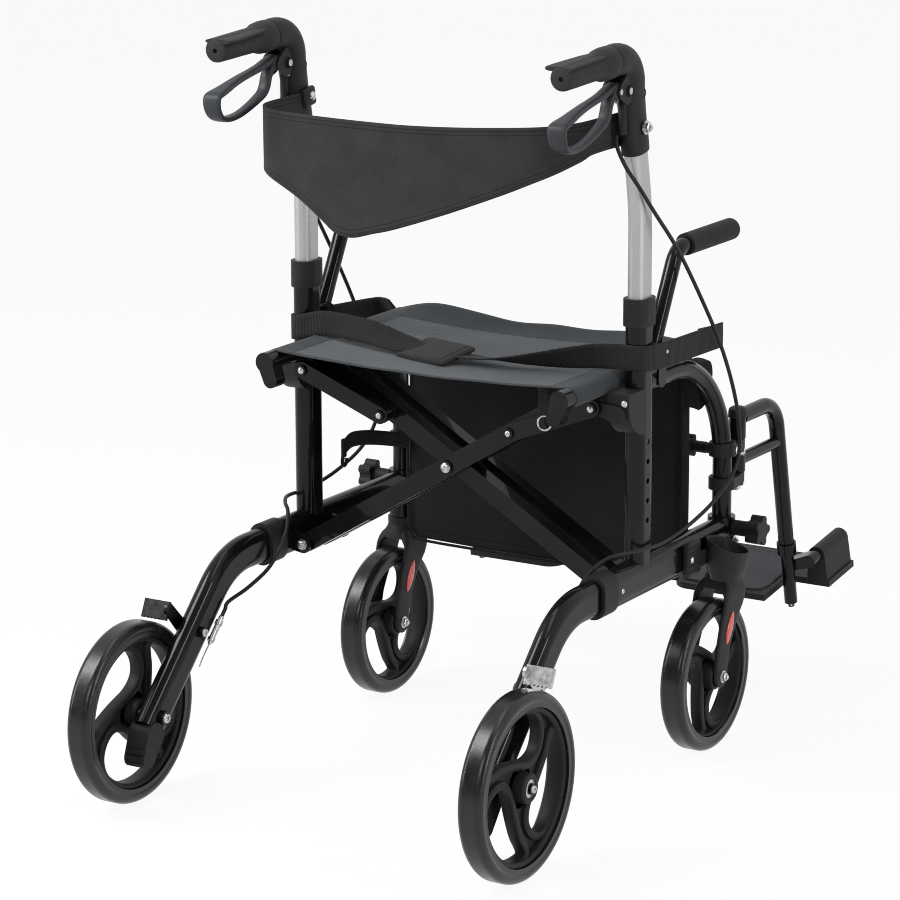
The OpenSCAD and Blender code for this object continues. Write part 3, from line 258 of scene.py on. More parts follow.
# plain weave with two rows of stitches along the strap's edges
def makeBackCloth():
    s = Shade("backCloth")
    along, edge = s.uv()
    weave = along.waves(1.1) * edge.waves(1.1)
    cloud = s.noise(26, 4)
    seam = abs(edge - 0.0045).below(0.0007) + abs(edge - 0.0095).below(0.0007)
    tone = 0.5 * cloud + 0.14 * weave + 0.3 * s.noise(420, 2) - 0.35 * seam
    return s.finish(
        Base_Color=s.colour(tone, (0.012, 0.012, 0.0126), (0.047, 0.047, 0.048)),
        Roughness=0.72 + 0.14 * cloud, Sheen_Weight=0.06, Sheen_Roughness=0.5, Specular_IOR_Level=0.1,
        Normal=s.bump(weave * 0.3 + s.noise(300, 2) - 2.2 * seam, 0.35, 0.0006))


# open mesh, with plain hems at the sides, the front and the rear edge
def makeSeatMesh():
    s = Shade("seatMesh")
    across, along = s.uv()
    thread = (across + along).waves(5.2)
    cross = (across - along).waves(5.2)
    plain = abs(across).above(0.186).most(along.above(0.262)).most((0.007 - along).above(0))
    seam = abs(abs(across) - 0.189).below(0.0012) + abs(along - 0.266).below(0.0012)
    gap = s.ramp(0.5 + 0.34 * thread + 0.16 * cross, (0.36, 0), (0.66, 1))
    cloud = s.noise(22, 3)
    tone = gap * (1 - plain) * (0.75 + 0.5 * cloud) + plain * (0.12 + 0.2 * cloud) - 0.1 * seam
    return s.finish(
        Base_Color=s.colour(tone, (0.006, 0.0064, 0.0068), (0.15, 0.17, 0.188)),
        Roughness=0.62 + 0.2 * cloud, Sheen_Weight=0.06, Specular_IOR_Level=0.15,
        Normal=s.bump((1 - plain) * gap + 0.4 * s.noise(500, 2) - 1.5 * seam, 0.5, 0.0007))


def makeWebbing():
    s = Shade("webbing")
    along, across = s.uv()
    rib = along.waves(2.4)
    edge = abs(across - 0.018).above(0.0165)
    cloud = s.noise(30, 3)
    tone = 0.4 * cloud + 0.22 * rib + 0.15 * s.noise(700, 2) + 0.12 * edge
    return s.finish(
        Base_Color=s.colour(tone, (0.007, 0.0068, 0.0066), (0.04, 0.039, 0.037)),
        Roughness=0.66 + 0.12 * cloud, Sheen_Weight=0.05, Specular_IOR_Level=0.12,
        Normal=s.bump(rib + 0.5 * s.noise(900, 2), 0.5, 0.0006))


def makeBagCloth():
    s = Shade("bagCloth")
    x, y, z = s.axes()
    weave = x.waves(1.3) * z.waves(1.3)
    cloud = s.noise(7, 5, 0.6)
    seam = abs(z - 0.234).below(0.0008) + abs(abs(x) - 0.199).below(0.0008)
    tone = 0.6 * cloud + 0.1 * weave + 0.2 * s.noise(380, 2) - 0.3 * seam
    return s.finish(
        Base_Color=s.colour(tone, (0.006, 0.006, 0.0062), (0.026, 0.026, 0.027)),
        Roughness=0.78 + 0.12 * cloud, Sheen_Weight=0.04, Specular_IOR_Level=0.08,
        Normal=s.bump(weave * 0.4 + s.noise(300, 2) + 2.5 * s.noise(24, 3) - 2 * seam, 0.4, 0.0007))


# tread rubber has rows of small dots
def makeTread():
    s = Shade("treadRubber")
    x, y, z = s.axes()
    raised = s.ramp(0.5 + 0.5 * (x.waves(4.4) * y.waves(4.4)), (0.55, 0), (0.75, 1))
    cloud = s.noise(30, 4)
    return s.finish(
        Base_Color=s.colour(0.35 * cloud + 0.6 * raised, (0.018, 0.021, 0.025), (0.07, 0.078, 0.09)),
        Roughness=0.55 + 0.2 * cloud, Specular_IOR_Level=0.35, Normal=s.bump(raised, 0.6, 0.0008))


# the red lenses have a fine pattern of prisms
def makeLens():
    s = Shade("redLens")
    x, y, z = s.axes()
    prisms = (y + z).waves(3) * (y - z).waves(3)
    tone = 0.5 + 0.3 * prisms + 0.2 * s.noise(200, 2)
    return s.finish(
        Base_Color=s.colour(tone, (0.42, 0.02, 0.016), (0.78, 0.09, 0.07)),
        Roughness=0.22 + 0.1 * s.noise(60, 2), Coat_Weight=0.4, Normal=s.bump(prisms, 0.3, 0.0004))


paint = makeGlossPaint()
silverTube = makeSatinSilver()
plasticBlack = makePlastic("mouldedPlastic")
gripRubber = makePlastic("gripRubber")
leverSatin = makePlastic("leverSatin")
foamSkin = makePlastic("foamSkin")
zinc = makeZinc("zincPlate", (0.38, 0.38, 0.375), (0.68, 0.68, 0.67))
darkZinc = makeZinc("darkZinc", (0.02, 0.021, 0.022), (0.06, 0.062, 0.065))
tyre = makeTyre()
backCloth = makeBackCloth()
seatMesh = makeSeatMesh()
webbing = makeWebbing()
bagCloth = makeBagCloth()
sheathBlack = makePlastic("sheathBlack")
rimPlastic = makePlastic("rimPlastic")
treadRubber = makeTread()
redLens = makeLens()
print("materials made")

finishes = {"paint": paint, "silver": silverTube, "plastic": plasticBlack, "rubber": gripRubber,
            "lever": leverSatin, "zinc": zinc, "tyre": tyre, "mesh": plasticBlack, "cloth": plasticBlack,
            "webbing": plasticBlack}
own = {"armrest_foam_left": foamSkin, "armrest_foam_right": foamSkin, "brake_shoe_left": darkZinc}
slotOf = {row["node"]: row["material_slot"] for row in frame["record"]["subparts"]}
for name, node in nodes.items():
    node.data.materials.clear()
    node.data.materials.append(own.get(name, finishes[slotOf[name]]))


# a smooth curve through the points
def smoothLine(points, steps=8):
    line = [Vector(p) for p in points]
    last = len(line) - 1
    found = []
    for i in range(last):
        a, b, c, d = line[max(i - 1, 0)], line[i], line[i + 1], line[min(i + 2, last)]
        for j in range(steps):
            t = j / steps
            found.append(0.5 * (2 * b + (c - a) * t + (2 * a - 5 * b + 4 * c - d) * t ** 2
                                + (3 * b - a - 3 * c + d) * t ** 3))
    return found + [line[-1]]


# a curve's length, and the point at any distance along it
class Path:
    def __init__(self, points, steps=8):
        self.line = smoothLine(points, steps)
        self.marks = [0.0]
        for a, b in zip(self.line, self.line[1:]):
            self.marks.append(self.marks[-1] + (b - a).length)
        self.length = self.marks[-1]

    def at(self, distance):
        i = min(max(bisect.bisect_right(self.marks, distance) - 1, 0), len(self.line) - 2)
        span = self.marks[i + 1] - self.marks[i]
        return self.line[i].lerp(self.line[i + 1], (distance - self.marks[i]) / span)


# the height of a line that runs from low x to high x
def level(line, x):
    for p, q in zip(line, line[1:]):
        if x <= q.x:
            return p.y + (q.y - p.y) * min(max((x - p.x) / (q.x - p.x), 0), 1)
    return line[-1].y


def flatPoints(pairs):
    return [Vector((a, b, 0)) for a, b in pairs]


# half a profile of (radius, height) pairs, then the same upside down
def mirrored(half):
    return half + tuple((r, -h) for r, h in reversed(half))


weld = 0.00001


def makePiece(name, bm, material, body, replaced=(), sharp=40):
    bmesh.ops.remove_doubles(bm, verts=bm.verts, dist=weld)
    bmesh.ops.recalc_face_normals(bm, faces=bm.faces)
    mesh = bpy.data.meshes.new(name)
    bm.to_mesh(mesh)
    bm.free()
    return placePiece(name, mesh, material, body, replaced, sharp)


# a piece with no body is left where it is made, attached to nothing
def placePiece(name, mesh, material, body, replaced=(), sharp=40):
    mesh.name = name
    mesh.materials.clear()
    mesh.materials.append(material)
    mesh.shade_smooth()
    mesh.set_sharp_from_angle(angle=math.radians(sharp))
    piece = bpy.data.objects.new(name, mesh)
    bpy.context.collection.objects.link(piece)
    if body:
        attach(piece, body)
    if replaced:
        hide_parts(*replaced)
    return piece


def zincPiece(name, bm, body):
    makePiece(name, bm, zinc, body, (), 34)


# one closed ring of points, in the x-y plane of its place; a higher square makes it boxier
def ring(bm, place, width, depth, count=24, square=2.0):
    made = bmesh.ops.create_circle(bm, segments=count, radius=1.0)["verts"]
    for v in made:
        c, s = v.co.x, v.co.y
        v.co = place @ Vector((math.copysign(abs(c) ** (2 / square), c) * (width / 1000) / 2,
                               math.copysign(abs(s) ** (2 / square), s) * (depth / 1000) / 2, 0))
    return made, list({e for v in made for e in v.link_edges})


# one closed ring through the given points, each put in its place by out
def addLoop(bm, points, out):
    made = bmesh.ops.create_circle(bm, segments=len(points), radius=1.0)["verts"]
    for v, point in zip(made, points):
        v.co = out(point)
    return made, list({e for v in made for e in v.link_edges})


def loft(bm, rings, closed=False):
    follow = rings[1:] + rings[:1] if closed else rings[1:]
    for (_, a), (_, b) in zip(rings, follow):
        bmesh.ops.bridge_loops(bm, edges=a + b)
    if not closed:
        for _, edges in (rings[0], rings[-1]):
            bmesh.ops.contextual_create(bm, geom=edges)


# a place whose z runs along a line in a side plane, with x kept as the width
def sidePlace(x, y, z, dy, dz):
    along = Vector((0, dy, dz)).normalized()
    across = Vector((1, 0, 0))
    turn = Matrix((across, along.cross(across), along)).transposed().to_4x4()
    return shift(x, y, z) @ turn


# a place whose z runs along a direction
def facing(at, direction):
    return shift(*at) @ Vector(direction).to_track_quat("Z", "Y").to_matrix().to_4x4()


# a profile of (radius, height) pairs spun round the z axis of its place
def spun(bm, place, profile, count=28):
    verts = [bm.verts.new(place @ Vector((r / 1000, 0, h / 1000))) for r, h in profile]
    edges = [bm.edges.new(pair) for pair in zip(verts, verts[1:])]
    bmesh.ops.spin(bm, geom=verts + edges, cent=place.translation, axis=place.to_3x3() @ Vector((0, 0, 1)),
                   dvec=(0, 0, 0), angle=2 * math.pi, steps=count, use_merge=True)


# a rounded block in the axes of its place
def block(bm, place, x, y, z, bevel, steps=3):
    made = bmesh.ops.create_cube(bm, size=1.0)["verts"]
    for v in made:
        v.co = Vector((v.co.x * x, v.co.y * y, v.co.z * z)) / 1000
    edges = list({e for v in made for e in v.link_edges})
    faces = list({f for v in made for f in v.link_faces})
    done = bmesh.ops.bevel(bm, geom=edges + made, offset=bevel / 1000, affect="EDGES", segments=steps,
                           profile=0.5, material=-1)
    kept = {v for f in done["faces"] for v in f.verts} | {v for f in faces if f.is_valid for v in f.verts}
    bmesh.ops.transform(bm, matrix=place, verts=[v for v in kept if v.is_valid])


def tubeMesh(name, points, radius, around=3, steps=6):
    data = bpy.data.curves.new(name, "CURVE")
    data.dimensions = "3D"
    data.bevel_depth = radius / 1000
    data.bevel_resolution = around
    data.use_fill_caps = True
    line = smoothLine(points, steps)
    spline = data.splines.new("POLY")
    spline.points.add(len(line) - 1)
    for point, place in zip(spline.points, line):
        point.co = (*mm(*place), 1)
    carrier = bpy.data.objects.new(name, data)
    mesh = bpy.data.meshes.new_from_object(carrier)
    bpy.data.objects.remove(carrier)
    return mesh


def zincWire(name, points, radius, around, body, steps=6):
    return placePiece(name, tubeMesh(name, points, radius, around, steps), zinc, body)


# a sheet of cloth: at gives its places in millimetres, size its own measures in metres
def clothSheet(name, form, at, size, material, body, replaced=()):
    bm = bmesh.new()
    layer = bm.loops.layers.uv.new("UVMap")
    bmesh.ops.create_grid(bm, x_segments=form["columns"], y_segments=form["rows"], size=0.5)
    for face in bm.faces:
        for loop in face.loops:
            loop[layer].uv = size(loop.vert.co.x + 0.5, loop.vert.co.y + 0.5)
    for v in bm.verts:
        v.co = mm(*at(v.co.x + 0.5, v.co.y + 0.5))
    piece = makePiece(name, bm, material, body, replaced, 180)
    wall = piece.modifiers.new("cloth", "SOLIDIFY")
    wall.thickness = form["thick"] / 1000
    wall.offset = 0
    return piece


# the measures of a straight strip of webbing
def stripSize(long, wide):
    return lambda u, v: (u * long / 1000, v * wide / 1000)


# folding brings the right frame this far to the left one, which stays
foldLine = {"axis": (1, 0, 0), "travel": 265.59, "height": 400}


# gives a soft piece between x = -half and half its own mesh; it is not squashed with the fold
def squashWithFold(piece, half):
    keep = 1 - foldLine["travel"] / (2 * half)
    mm(-half, 0, foldLine["height"])
    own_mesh(piece)


# brake cables: a sheath left unattached along its route, with a barrel and a wire end on the frame
cable = {
    "thick": 2.5, "bends": (560, 830), "exit": (0, -0.7071, -0.7071),
    "route": [(235, -46, 838), (235, -46, 824), (246, -44, 800), (257, -28, 772), (263, -2, 740),
              (267, 54, 684), (271, 112, 612), (274, 160, 545), (275, 196, 480), (274, 216, 425),
              (272, 214, 380), (268, 170, 346), (266, 100, 326), (265, 30, 318), (262, -22, 320),
              (248, -50, 319), (232, -68, 312), (219, -94, 291), (218, -130, 258), (221, -176, 240),
              (225, -216, 230), (225, -224, 222), (225, -232, 214)],
    "barrel": ((0, 3.4), (6, 3.4), (6.01, 5), (12, 5), (12.01, 3.8), (31, 3.8), (31.01, 4.9), (36, 4.9),
               (36.01, 2.4), (40, 2.4))}


def makeCables():
    for side, s in sides:
        points = sided(s, cable["route"])
        mesh = tubeMesh("cableSheath_" + side, points, cable["thick"], 4)
        sheath = placePiece("cableSheath_" + side, mesh, sheathBlack, None)
        low, high = cable["bends"]
        "frame_" + side
        "handle_" + side
        mm(0, 0, low)
        mm(0, 0, high)
        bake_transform(sheath)
        end, down = points[-1], Vector(cable["exit"])
        turn = down.to_track_quat("Z", "X").to_matrix().to_4x4()
        bm = bmesh.new()
        loft(bm, [ring(bm, shift(*(end + down * d)) @ turn, 2 * r, 2 * r, 18) for d, r in cable["barrel"]])
        makePiece("cableBarrel_" + side, bm, zinc, "frame_" + side, ["brake_cable_" + side])
        wire = [end + down * 38, end + down * 62, end + down * 74 + Vector((0, 2, 0))]
        zincWire("cableWire_" + side, wire, 0.9, 2, "frame_" + side)


# the backrest strap, cut narrow at its ends and hung a little to the left
back = {
    "half": [(227.2, -24), (227.2, -74), (223.2, -118), (205.2, -146), (175.2, -160), (107.2, -168),
             (0, -172)],
    "edge": ((-243, 775), (-205, 770), (-150, 749), (-110, 724), (-88, 709), (-62, 705), (-30, 713), (0, 721),
             (70, 745), (140, 772), (175, 787), (205, 801), (223, 813), (228, 821), (243, 828)),
    "top": 852, "rise": 10, "riseAt": 228, "dip": 3.0, "ripple": (1.6, 23), "flare": (2.5, 110),
    "hem": (0.5, 0.07), "deepest": 147, "thick": 1.6, "columns": 120, "rows": 26}


def makeBackrest():
    half = back["half"]
    path = Path(half + [(-x, y) for x, y in reversed(half[:-1])], 6)
    edge = smoothLine(flatPoints(back["edge"]), 6)

    def place(u, v):
        point = path.at(u * path.length)
        top = back["top"] + back["rise"] * max(0.0, point.x / back["riseAt"]) ** 1.5
        return point, top, (top - level(edge, point.x)) * v

    def at(u, v):
        point, top, down = place(u, v)
        here = path.length * (u - 0.55)
        (ripple, wave), (flare, reach) = back["ripple"], back["flare"]
        out = ripple * math.sin(here / wave) * (1 - v) * v + flare * v * v * math.cos(here / reach)
        high, wide = back["hem"]
        hem = high if min(v, 1 - v) < wide else 0
        dip = back["dip"] * math.sin(math.pi * u) ** 2 * (1 - v)
        return point.x, point.y - out - hem, top - down - dip

    def size(u, v):
        down, full = place(u, v)[2], place(u, 1)[2]
        return u * path.length / 1000, min(down, full - down) / 1000

    piece = clothSheet("backrestStrap", back, at, size, backCloth, "handle_left", ["backrest"])
    squashWithFold(piece, half[0][0])


# the sling seat, sewn round both tubes, with a plain band along its raised front edge
sling = {"tube": (212.5, 526.5), "loop": 12.4, "from": -124, "to": 180, "sag": 9, "band": 136, "thick": 1.8,
         "raise": 11, "crest": (9, -150, 55), "ripple": (0.5, 19), "flat": (200, 212), "slack": (0.8, 17, 29),
         "hollow": 2.5, "waist": 6, "columns": 110, "rows": 60}


# what hangs from the seat tubes keeps its place, attached to no body
def blendWithBraces(piece):
    x, z = sling["tube"]
    mm(-x, 0, z)
    mm(x, 0, z)
    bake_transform(piece)


def makeSeat():
    x, z = sling["tube"]
    loop = sling["loop"]
    deep = sling["to"] - sling["from"]
    turn = [(x + loop * math.cos(math.radians(a)), z + loop * math.sin(math.radians(a)))
            for a in range(-66, 91, 12)]
    across = [(x * (1 - i / 12), z + loop - sling["sag"] * (1 - (1 - i / 12) ** 2)) for i in range(1, 13)]
    half = turn + across
    path = Path(half + [(-a, b) for a, b in reversed(half[:-1])], 3)

    def at(u, v):
        point = path.at(u * path.length)
        y = sling["from"] + v * deep
        flatAt, frontAt = sling["flat"]
        inside = max(0.0, 1 - (point.x / flatAt) ** 2)
        front = max(0.0, (y - sling["band"]) / (sling["to"] - sling["band"]))
        (high, middle, wide), (ripple, wave) = sling["crest"], sling["ripple"]
        crest = high * math.exp(-((point.x - middle) / wide) ** 2) + ripple * math.sin(point.x / wave)
        raised = front ** 1.6 * (sling["raise"] + crest) * max(0.0, 1 - (point.x / frontAt) ** 6)
        loose, waveX, waveY = sling["slack"]
        hollow = sling["hollow"] * math.sin(math.pi * v) ** 2
        slack = loose * math.sin(point.x / waveX) * math.cos(y / waveY) - hollow
        waist = sling["waist"] * inside * (1 - 2 * v)
        return point.x, y + waist * (abs(v - 0.5) * 2) ** 6, point.y + (raised + inside * slack)

    def size(u, v):
        return (u - 0.5) * path.length / 1000, v * deep / 1000

    piece = clothSheet("slingSeat", sling, at, size, seatMesh, None, ["seat"])
    blendWithBraces(piece)


# the belt, from the seat's front corners round behind the posts to the pad: places and the webbing's lean
belt = {
    "width": 32, "thick": 2.0, "half": 262.5, "columns": 260, "rows": 6,
    "route": [(226.5, 188, 540, 180), (250, 197, 547, 180), (262, 182, 553, 180), (262.5, 100, 555, 180),
              (262.5, 20, 557, 180), (257, -15, 559, 180), (243, -22.4, 560, 180), (224, -22.8, 560, 178),
              (196, -25, 558, 170), (160, -30, 553, 152), (120, -34, 547, 130), (80, -36, 542, 112),
              (40, -34, 539, 98), (-32, -28, 539, 82), (-80, -30, 545, 62), (-110, -31, 551, 44),
              (-140, -30, 555, 28), (-196, -25, 557, 10), (-224, -22.8, 552, 2), (-243, -22.4, 547, 0),
              (-257, -15, 545, 0), (-262.5, 20, 543, 0), (-262.5, 100, 537, 0), (-262, 182, 531, 4),
              (-250, 197, 532, 20), (-226.5, 188, 536, 40)]}


def makeBelt():
    path = Path([row[:3] for row in belt["route"]], 6)
    leans = smoothLine([(i, row[3], 0) for i, row in enumerate(belt["route"])], 6)
    last = len(path.line) - 1

    def at(u, v):
        place = path.at(u * path.length)
        i = min(range(last + 1), key=lambda k: (path.line[k] - place).length)
        lean = math.radians(leans[i].y)
        ahead = (path.line[min(i + 1, last)] - path.line[max(i - 1, 0)]).normalized()
        flat = Vector((ahead.y, -ahead.x, 0)).normalized()
        up = Vector((0, 0, 1)) * math.cos(lean) + flat * math.sin(lean)
        return place + up * belt["width"] * (v - 0.5)

    piece = clothSheet("beltWebbing", belt, at, stripSize(path.length, belt["width"]), webbing, "frame_left",
                       ["belt"])
    squashWithFold(piece, belt["half"])


# a padded sleeve on the belt, lying on the seat with its ends drawn in behind a row of stitches
pad = {"at": (-32, -28, 538.6), "along": (-0.966, 0.26, 0.0), "up": (0.25, 0.95, 0.19), "long": 88,
       "wide": 62, "thick": 10, "thin": 2.4, "narrow": 0.14, "stitch": (0.34, 0.8, 0.03), "columns": 48,
       "count": 64, "fill": 0.7}


def makeBeltPad():
    bm = bmesh.new()
    ahead = Vector(pad["along"]).normalized()
    out = ahead.cross(Vector(pad["up"])).normalized()
    turn = Matrix((out.cross(ahead), out, ahead)).transposed().to_4x4()
    deep, stitchAt, stitchWide = pad["stitch"]
    rings = []
    for i in range(pad["columns"] + 1):
        t = 2 * i / pad["columns"] - 1
        full = (1 - abs(t) ** 9) ** 0.5
        stitch = 1 - deep * math.exp(-((abs(t) - stitchAt) / stitchWide) ** 2)
        place = shift(*(Vector(pad["at"]) + ahead * pad["long"] / 2 * t)) @ turn
        wide = pad["wide"] * (1 - pad["narrow"] + pad["narrow"] * full)
        thick = max(pad["thick"] * full * stitch, pad["thin"])
        rings.append(ring(bm, place, wide, thick, pad["count"], 4.5))
    loft(bm, rings)
    piece = makePiece("beltPad", bm, backCloth, "frame_left", (), 60)
    squashWithFold(piece, belt["half"])


# the flat bag under the seat: a lofted shell with a slack face and a rounded lower edge
bag = {
    "half": 208, "rear": 188, "depth": 22, "top": 511, "bottom": 219, "start": 3, "edge": 16, "corner": 13,
    "slack": 0.0022, "sag": 0.0025, "rings": 26, "count": 96,
    "gusset": ((188, 450), (200, 452), (211, 459), (220, 471), (225, 486), (224, 500), (215, 510),
               (188, 511)),
    "bulges": ((207, 0), (214, 2.5), (222, 2), (229.6, 0)),
    "piping": ((205, 187, 505), (207.5, 187, 470), (208, 187, 360), (207, 187, 260), (203, 188, 228),
               (188, 189, 220.5), (90, 189, 218.8), (0, 189, 218.4))}


def makeBag():
    bm = bmesh.new()
    rings = []
    low = bag["bottom"] + bag["start"]
    for i in range(bag["rings"]):
        t = i / (bag["rings"] - 1)
        z = low + (bag["top"] - low) * t
        edge = max(0.0, 1 - (z - bag["bottom"]) / bag["edge"])
        wide = 2 * (bag["half"] - bag["corner"] * edge ** 2)
        deep = bag["depth"] * (1 - 0.55 * edge ** 2) * (0.82 + 0.18 * math.sin(math.pi * min(1, t * 1.2)))
        rings.append(ring(bm, shift(0, bag["rear"] + bag["depth"] / 2, z), wide, deep, bag["count"], 9))
    loft(bm, rings)
    for v in bm.verts:
        x, z = v.co.x, v.co.z
        fade = max(0.0, 1 - (x / 0.2) ** 4)
        hollow = 0.4 * math.sin(math.pi * (z - 0.22) / 0.29)
        v.co.y += fade * bag["slack"] * (noise.noise(Vector((x * 9, 0.4, z * 6))) - hollow)
        v.co.z -= bag["sag"] * fade * max(0.0, (0.3 - z) / 0.08) * (1 - abs(x) / 0.21)
    piece = makePiece("bagShell", bm, bagCloth, "frame_left", ["bag"], 60)
    squashWithFold(piece, bag["half"])


# the bag's gussets up to the arches, and the piping round its rear face
def makeBagTrim():
    for side, s in sides:
        bm = bmesh.new()
        outline = [(p.x, p.y) for p in smoothLine(flatPoints(bag["gusset"]), 4)]
        rings = []
        for x, bulge in bag["bulges"]:
            line = flatPoints((y - (1 - abs(y - 205) / 25) * bulge * 0.2, z + bulge) for y, z in outline)
            rings.append(addLoop(bm, line, lambda p, x=x: mm(s * x, p.x, p.y)))
        loft(bm, rings)
        makePiece("bagGusset_" + side, bm, bagCloth, "frame_" + side, (), 50)
        mesh = tubeMesh("bagPiping_" + side, sided(s, bag["piping"]), 2.0, 2)
        piece = placePiece("bagPiping_" + side, mesh, bagCloth, "frame_left")
        squashWithFold(piece, bag["half"])


# the width that the webbing's material is drawn for, with a border along each edge
webbingWidth = 36

# a short strap from the bag's left edge, stiff enough to stand out, with a hook at its end
foldStrap = {
    "route": [(-207, 186, 356), (-212, 150, 366), (-215, 100, 378), (-216, 62, 383), (-216, 44, 377)],
    "wide": 20, "thick": 2.0, "columns": 30, "rows": 4, "block": (-216, 42, 376),
    "hook": [(-216, 40, 366), (-216, 38, 357), (-216, 42, 352), (-216, 47, 355), (-216, 48, 361)]}


def makeFoldStrap():
    route = Path(foldStrap["route"], 6)
    wide = foldStrap["wide"]

    def at(u, v):
        point = route.at(u * route.length)
        return point.x, point.y, point.z + wide * (v - 0.5)

    size = stripSize(route.length, webbingWidth)
    piece = clothSheet("foldStrap", foldStrap, at, size, webbing, "frame_left")
    bm = bmesh.new()
    block(bm, shift(*foldStrap["block"]), 5, 8, 25, 1.6)
    mesh = tubeMesh("foldHookCurl", foldStrap["hook"], 2.4, 3)
    bm.from_mesh(mesh)
    bpy.data.meshes.remove(mesh)
    makePiece("foldHook", bm, plasticBlack, "frame_left", (), 40)


# a webbing tab with a wire ring under the seat's right rear corner
seatTab = {"at": (148, -70, 528), "drop": 44, "half": 7, "thick": 1.8, "columns": 12, "rows": 4,
           "flat": (0.046, 0.014), "ring": (150, -70, 477), "ringSize": (8.5, 2, 9), "wire": 1.3}


def makeSeatTab():
    x, y, z = seatTab["at"]
    drop = seatTab["drop"]

    def at(u, v):
        return x + seatTab["half"] * (v - 0.5) * 2, y + 1.5 * math.sin(u * 3), z - drop * u

    piece = clothSheet("seatTab", seatTab, at, stripSize(drop, webbingWidth), webbing, None)
    blendWithBraces(piece)
    (rx, ry, rz), (wide, deep, high) = seatTab["ring"], seatTab["ringSize"]
    turns = [math.tau * i / 24 for i in range(25)]
    arc = [(rx + wide * math.sin(a), ry + deep * math.sin(a), rz + high * math.cos(a)) for a in turns]
    blendWithBraces(zincWire("seatTabRing", arc, seatTab["wire"], 3, None, 1))


# swirled wheels: three teardrop openings with raised lips, in shares of the wheel's radius and degrees
wheelForm = {
    "opening": ((0.755, 153), (0.775, 140), (0.78, 122), (0.78, 104), (0.775, 88), (0.75, 73), (0.68, 61),
                (0.56, 52), (0.43, 48), (0.32, 56), (0.265, 80), (0.3, 106), (0.41, 129), (0.56, 143),
                (0.69, 152)),
    "lip": 11, "high": 17, "web": 6, "tyre": 19, "ring": 0.775, "flange": 0.23, "hub": 19, "hubLong": 37,
    "bearing": 11, "edge": (158, 170, 182, 192), "root": (172, 150, 130, 108),
    "phase": {"rear_left": 31, "rear_right": 0, "caster_left": 2, "caster_right": -20}}


def polar(r, angle):
    a = math.radians(angle)
    return Vector((r * math.cos(a), r * math.sin(a), 0))


# the outline of one opening, as a function that moves it outwards
def openingAt(radius, turn, limit):
    points = [polar(radius * share, angle + turn) for share, angle in wheelForm["opening"]]
    line = smoothLine(points[-2:] + points + points[:2], 4)[8:8 + 4 * len(points)]
    middle = sum(line, Vector()) / len(line)
    sideways = []
    for i in range(len(line)):
        along = (line[(i + 1) % len(line)] - line[i - 1]).normalized()
        sideways.append(Vector((along.y, -along.x, 0)))
    sign = 1 if sum((p - middle).dot(out) for p, out in zip(line, sideways)) > 0 else -1

    def moved(distance):
        points = [p + out * sign * distance for p, out in zip(line, sideways)]
        return [p if p.length < limit else p.normalized() * limit for p in points]

    return moved


def makeRim(name, wheel, s, phase, body, node):
    bm = bmesh.new()
    radius = wheel["radius"]
    at = (s * wheel["x"], wheel["y"], radius)
    inner = radius - wheelForm["tyre"]

    def out(depth):
        return lambda p: mm(at[0] + depth, at[1] + p.x, at[2] + p.y)

    high, lip = wheelForm["high"] / 2, wheelForm["lip"]
    profile = mirrored(((0, high - 3), (0.7, high - 1.2), (2.4, high - 0.2), (5, high),
                        (lip - 3.4, high - 0.3), (lip - 1, high - 1.6), (lip, high - 4)))
    openings = [openingAt(radius, turn + phase, inner - 0.2) for turn in (0, 120, 240)]
    for i, moved in enumerate(openings):
        loft(bm, [addLoop(bm, moved(d), out(h)) for d, h in profile], closed=True)
        near, far = moved(5), openings[(i + 1) % 3](5)
        edge = [polar(inner - 1, 120 * i + a + phase) for a in wheelForm["edge"]]
        root = [polar(wheelForm["hub"] - 1, 120 * i + a + phase) for a in wheelForm["root"]]
        spoke = near[42:] + near[:1] + edge + far[20:39] + root
        loft(bm, [addLoop(bm, spoke, out(wheelForm["web"] * h)) for h in (0.5, -0.5)])
    place = facing(at, (1, 0, 0))
    ringIn, flange = radius * wheelForm["ring"], wheelForm["flange"] * radius
    hub, half, hole = wheelForm["hub"], wheelForm["hubLong"] / 2, wheelForm["bearing"]
    band = ((ringIn, 9), (ringIn + 1, 11), (ringIn + 3, 12.4), (inner - 1, 12.4), (inner, 11.4))
    disc = ((12, 3), (flange, 3))
    barrel = ((hole, half - 4), (hole, half - 1), (hole + 1, half), (hub - 3, half), (hub - 0.8, half - 2),
              (hub, half - 7))
    for form, count in ((band, 72), (disc, 40), (barrel, 40)):
        spun(bm, place, mirrored(form) + form[:1], count)
    makePiece(name, bm, rimPlastic, body, [node], 38)
    bm = bmesh.new()
    for end in (1, -1):
        face = facing((at[0] + end * (half - 1.2), at[1], at[2]), (end, 0, 0))
        spun(bm, face, ((hole, -2), (hole, 0), (hole - 1.6, 0.4), (hole - 2, -0.6), (7.4, -0.6), (7, 0.4),
                        (5.2, 0.4), (5.2, -2)), 36)
    makePiece(name + "Bearing", bm, zinc, body)


def makeWheels():
    kinds = (("rear", rearWheel, "rear_wheel_"), ("caster", casterWheel, "front_wheel_"))
    for side, s in sides:
        for kind, wheel, body in kinds:
            phase = wheelForm["phase"][kind + "_" + side]
            makeRim(kind + "Rim_" + side, wheel, s, phase, body + side, kind + "_rim_" + side)


